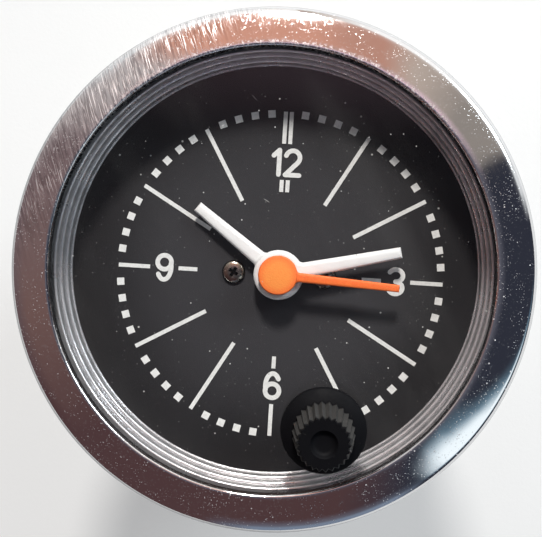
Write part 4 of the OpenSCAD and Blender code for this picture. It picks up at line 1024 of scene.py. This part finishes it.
def satin_rings(wire):
    points = wire.object_points()
    height = points.axis("Z")
    course = ((height - ring_low.z - bead_h) / step_h).maths("FRACT")
    # Painted shade: darker at the root of each step, and a dark line along the groove in the middle
    # of each step.
    painted_step_shade = (1 - course.between(0.02, 0.16)) * height.between(bead_top, bead_top + bead_h)
    groove_and_painted_shade = 1 - (course - 0.55).maths("ABSOLUTE").between(0.02, 0.07)
    rolled = points.placed(stretch=(3, 3, 0.07)).noise(2 * mm, 4, 0.6)
    stain = points.placed(stretch=(1, 1, 3)).noise(5 * mm, 4).between(0.4, 0.75)
    # dark holds the painted shade of the steps and grooves, together with the real stains and
    # rolling marks.
    dark = (painted_step_shade * 0.5).maths("MAXIMUM", groove_and_painted_shade * 0.15)
    dark = dark.maths("MAXIMUM", stain * 0.4 + rolled * 0.25)
    return {
        "Base Color": dark.blend((0.82, 0.81, 0.82), (0.12, 0.12, 0.13)),
        "Roughness": 0.22 + 0.18 * stain + 0.1 * rolled,
        "Normal": (rolled - groove_and_painted_shade * 0.15).bump(0.04 * mm),
    }


ring_profile = [
    (ring_r, ring_low.z), (ring_r, ring_seat_z), (ring_seat_r, ring_seat_z),
    (ring_seat_r, ring_high.z),
]
first_step = len(ring_profile)
for number in range(ring_steps):
    step_r = ring_top_r - number * step_w
    step_z = ring_high.z - number * step_h
    ring_profile += [(step_r, step_z), (step_r - step_w + ring_ledge, step_z - step_h)]
ring_profile += [(ring_foot_r, bead_top), (ring_foot_r, ring_low.z), ring_profile[0]]
ring_rounds = [(first_step + 2 * number, ring_round, 6) for number in range(ring_steps)]
ring_rounds += [(first_step + 2 * ring_steps, bead_round, 4)]
ring = turned("reflector_ring.rolled", ring_profile, ring_rounds, steps=192)
stand_for(ring, "reflector_ring", finish("satin_aluminium", {"Metallic": 0.78}, satin_rings))


# Crystal and gasket: a flat glass disc on a black rubber ring, drilled for the setting stem.
# The glass has a few dust specks and faint old wiping marks.
rubber = moulded((0.018, 0.018, 0.018), (0.05, 0.05, 0.05), roughness=0.6)
coat(["crystal_gasket", "stem_grommet"], finish("black_rubber", {}, rubber))

glass = bpy.data.materials.new("clear_crystal")
glass.use_nodes = True
glass.node_tree.nodes.remove(glass.node_tree.nodes["Principled BSDF"])
pane = Wire(glass.node_tree)
points = pane.object_points()
smears = points.placed(turn=0.6, stretch=(1, 4, 1)).noise(9 * mm, 4, 0.6).between(0.5, 0.8)
specks = points.specks(2.3 * mm, 0.045).maths("MAXIMUM", points.specks(1.1 * mm, 0.05) * 0.4)
clear = pane.node("ShaderNodeBsdfTransparent")
mirror = pane.node("ShaderNodeBsdfAnisotropic", sockets={"Roughness": 0.02})
dust = pane.node("ShaderNodeBsdfDiffuse", sockets={"Color": (0.75, 0.74, 0.72, 1)})
inside = pane.node("ShaderNodeNewGeometry", out="Backfacing")
gloss = pane.node("ShaderNodeFresnel", sockets={"IOR": 1.45}) * (1 - inside)
sheet = pane.node("ShaderNodeMixShader", sockets={0: gloss, 1: clear, 2: mirror})
soiled = specks * 0.7 + smears * 0.012
dusty = pane.node("ShaderNodeMixShader", sockets={0: soiled, 1: sheet, 2: dust})
glass.node_tree.links.new(dusty.socket, glass.node_tree.nodes["Material Output"].inputs["Surface"])
coat(["crystal"], glass)


# Bezel: a brass ring spun to a gently crowned face, polished, chromed and rolled over the flange
# behind. Years of use left hairlines at the upper left, a rubbed inner edge at the top and pits
# all round. Under the rim the chrome is painted dark, a painted dark reflection that reaches
# higher at the left.
bezel_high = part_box("bezel")[1]
bezel_r = bezel_high.x
bezel_top = bezel_high.z
lip_r = 25.3 * mm
lip_round = 0.25 * mm
face_w = bezel_r - lip_r
face_fall = 0.85 * mm
face_part = 0.78
face_steps = 10
rim_fall = face_fall * face_part * (2 - face_part)
rim_round = 0.9 * mm
hollow_r = 28.4 * mm
crimp_in_r = 26.4 * mm
crimp_t = 0.58 * mm
crimp_round = 0.5 * mm
crystal_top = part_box("crystal")[1].z


def worn_chrome(wire):
    points = wire.object_points()
    ripple = points.noise(9 * mm, 2)
    patchy = points.noise(5 * mm, 3).between(0.3, 0.6)
    wiped = (0.85 * points.axis("Y") - points.axis("X")).between(25 * mm, 34.5 * mm)
    lean = math.radians(20)

    def hairlines(turn, length, width):
        """Noise drawn into lines that lie at turn, length times as long as they are wide."""
        return points.placed(turn=turn, stretch=(1, length, 1000)).noise(width, 2, 0.5)

    hairs = hairlines(lean, 20, 0.13 * mm).between(0.52, 0.64)
    crossed = hairlines(lean + 0.2, 14, 0.22 * mm).between(0.58, 0.7)
    gouges = points.placed(turn=lean - 0.3, stretch=(1, 8, 1)).specks(0.9 * mm, 0.05)
    scuffs = hairs.maths("MAXIMUM", crossed * 0.8) * (wiped * (0.45 + 0.5 * patchy) + 0.05)
    radius = points.from_line()
    inner_edge = 1 - radius.between(lip_r + 0.2 * mm, lip_r + 2 * mm)
    crowded = points.noise(3 * mm, 3).between(0.34, 0.56).maths("MAXIMUM", inner_edge * 0.7)
    pits = points.noise(0.17 * mm, 1).between(0.64, 0.74) * crowded
    big_pits = points.specks(1.3 * mm, 0.085) * points.noise(0.3 * mm, 2).between(0.35, 0.5)
    marks = (pits * 0.7).maths("MAXIMUM", big_pits)
    marks = marks.maths("MAXIMUM", gouges * (0.2 + 0.6 * wiped))
    height = points.axis("Z")
    face = height.between(bezel_top - 1.5 * mm, bezel_top - 1.2 * mm)
    at_top = points.axis("Y").between(11 * mm, 19 * mm)
    at_lip = 1 - radius.between(lip_r + 0.35 * mm, lip_r + 1.1 * mm)
    rubbed = at_lip * at_top * points.noise(0.35 * mm, 4, 0.7).between(0.47, 0.58)
    dull = scuffs.maths("MAXIMUM", marks).maths("MAXIMUM", rubbed * 0.8) * face
    # Painted dark reflection: the rim is painted dark grey below the face, higher up at the left.
    reaches_higher_at_left = (-0.9 * points.axis("X") - 0.5 * points.axis("Y")).between(-5 * mm, 20 * mm)
    dark_rim_height = height - reaches_higher_at_left * (0.4 * mm)
    painted_dark_rim = 1 - dark_rim_height.between(bezel_top - 1.35 * mm, bezel_top - 1.0 * mm)
    streaks = hairlines(lean, 12, 0.3 * mm).between(0.45, 0.6) * wiped * face
    plate = (streaks * 0.7).blend((0.76, 0.765, 0.775), (0.4, 0.39, 0.4))
    shiny = dull.blend(plate, (0.9, 0.885, 0.89))
    haze = points.noise(2.4 * mm, 5, 0.65).between(0.5, 0.75)
    return {
        "Base Color": (painted_dark_rim * 0.85).blend(shiny, (0.3, 0.3, 0.31)),
        "Metallic": 1 - 0.55 * marks * face,
        "Roughness": 0.05 + 0.05 * haze + 0.4 * dull + (0.08 + 0.14 * haze) * painted_dark_rim,
        "Normal": (ripple * 0.4 - marks * 0.03).bump(0.12 * mm),
    }


bezel_profile = [(crimp_in_r, 0), (bezel_r, 0), (bezel_r, bezel_top - rim_fall)]
for number in range(face_steps, -1, -1):
    part = face_part * number / face_steps
    bezel_profile += [(lip_r + part * face_w, bezel_top - face_fall * part ** 2)]
lip_corner = len(bezel_profile) - 1
bezel_profile += [
    (lip_r, crystal_top), (hollow_r, crystal_top), (hollow_r, crimp_t), (crimp_in_r, crimp_t),
    (crimp_in_r, 0),
]
bezel_rounds = [(1, crimp_round, 4), (2, rim_round, 12), (lip_corner, lip_round, 6)]
bezel = turned("bezel.spun", bezel_profile, bezel_rounds, steps=256)
stand_for(bezel, "bezel", finish("worn_chrome", {}, worn_chrome))


# Setting knob: a black moulding pressed on the stem, with a flange, a smooth cone and a
# tapered grip of sharp V ridges, and a dimple in its top for the fingertip. The sides of the grip
# are painted a lighter grey, a painted light; the top, dimple and flange stay black.
knob_low, knob_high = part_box("setting_knob")
knob_place = ((knob_low.x + knob_high.x) / 2, (knob_low.y + knob_high.y) / 2)
flange_r = (knob_high.x - knob_low.x) / 2
flange_t = 0.8 * mm
flange_rise = 0.9 * mm
grip_root_r = 3.5 * mm
grip_top_r = 2.9 * mm
dimple_r = 1.35 * mm
dimple_h = 0.5 * mm
dimple_rim = 0.2 * mm
flutes = 26
flute_depth = 0.36 * mm
bore_r = 1.22 * mm
bore_top = knob_low.z + 5 * mm
cone_z = knob_low.z + flange_t
grip_z = cone_z + flange_rise
sunk = 0.1 * mm


def knob_plastic(wire):
    points = wire.object_points()
    skin = points.noise(0.18 * mm, 3, 0.6)
    greasy = points.noise(1.8 * mm, 3).between(0.4, 0.7)
    height = points.axis("Z")
    at_top = height.between(knob_high.z - 0.5 * mm, knob_high.z - 0.2 * mm)
    outside = points.from_line(knob_place).between(1.7 * mm, 2.2 * mm)
    # Painted light: the grip's sides get a lighter grey than its top, dimple and flange.
    painted_lit_grip = height.between(grip_z, grip_z + 0.4 * mm) * (1 - at_top) * outside
    varied = painted_lit_grip.blend((0.004, 0.004, 0.005), (0.042, 0.041, 0.04))
    lint = points.specks(0.6 * mm, 0.08) * points.noise(1.5 * mm, 2).between(0.5, 0.65)
    return {
        "Base Color": (lint * 0.3).blend(varied, (0.2, 0.19, 0.18)),
        "Roughness": 0.5 + 0.1 * greasy + 0.1 * skin,
        "Normal": skin.bump(0.012 * mm),
    }


bore_end = grip_z - 0.3 * mm
body = turned("knob_base", [
    (bore_r, knob_low.z), (flange_r, knob_low.z), (flange_r, cone_z),
    (grip_root_r - flute_depth, grip_z), (0, grip_z), (0, bore_end), (bore_r, bore_end),
    (bore_r, knob_low.z),
], [(1, 0.15 * mm, 3), (2, 0.22 * mm, 5)], steps=128, centre=knob_place)

bpy.ops.object.select_all(action="DESELECT")
bpy.ops.mesh.primitive_circle_add(
    vertices=2 * flutes, radius=grip_root_r, fill_type="NGON", location=(0, 0, 0)
)
grip = bpy.context.object
bpy.ops.object.mode_set(mode="EDIT")
step_angle = math.pi / flutes
select(grip, "VERT", lambda v: round(math.atan2(v.co.y, v.co.x) / step_angle) % 2 == 1)
groove_part = (grip_root_r - flute_depth) / grip_root_r
bpy.ops.transform.resize(value=(groove_part, groove_part, 1), center_override=(0, 0, 0))
bpy.ops.mesh.select_all(action="SELECT")
bpy.ops.transform.translate(value=(0, 0, grip_z - sunk))
edge_rise = 0.93
edge_part = 0.94
edge_r = grip_root_r + (grip_top_r - grip_root_r) * edge_rise
edge_z = grip_z + (knob_high.z - grip_z) * edge_rise
outlines = [
    (grip_root_r, grip_z - sunk), (edge_r, edge_z), (grip_top_r * edge_part, knob_high.z),
]
for (radius_here, here), (radius_there, there) in zip(outlines, outlines[1:]):
    bpy.ops.mesh.extrude_region_move(TRANSFORM_OT_translate={"value": (0, 0, there - here)})
    shrink = radius_there / radius_here
    bpy.ops.transform.resize(value=(shrink, shrink, 1), center_override=(0, 0, there))
bpy.ops.mesh.select_all(action="SELECT")
bpy.ops.mesh.normals_make_consistent(inside=False)
bpy.ops.transform.translate(value=(*knob_place, 0))
bpy.ops.object.mode_set(mode="OBJECT")
dimple = turned("dimple", [
    (0, knob_high.z - dimple_h), (dimple_r * 0.8, knob_high.z - dimple_h),
    (dimple_r, knob_high.z - 0.12 * mm), (dimple_r + dimple_rim, knob_high.z + 0.08 * mm),
    (dimple_r + dimple_rim, knob_high.z + mm), (0, knob_high.z + mm),
], [(1, 0.3 * mm, 5), (2, 0.12 * mm, 3)], steps=64, centre=knob_place)
combine(grip, dimple, "DIFFERENCE")
knob_bore = turned("knob_bore", [
    (0, knob_low.z - mm), (bore_r, knob_low.z - mm), (bore_r, bore_top), (0, bore_top),
], steps=48, centre=knob_place)
combine(grip, knob_bore, "DIFFERENCE")
knob = join("setting_knob.moulded", [body, smooth(grip, 25)])
stand_for(knob, "setting_knob", finish("knob_black", {"Specular IOR Level": 0.06}, knob_plastic))
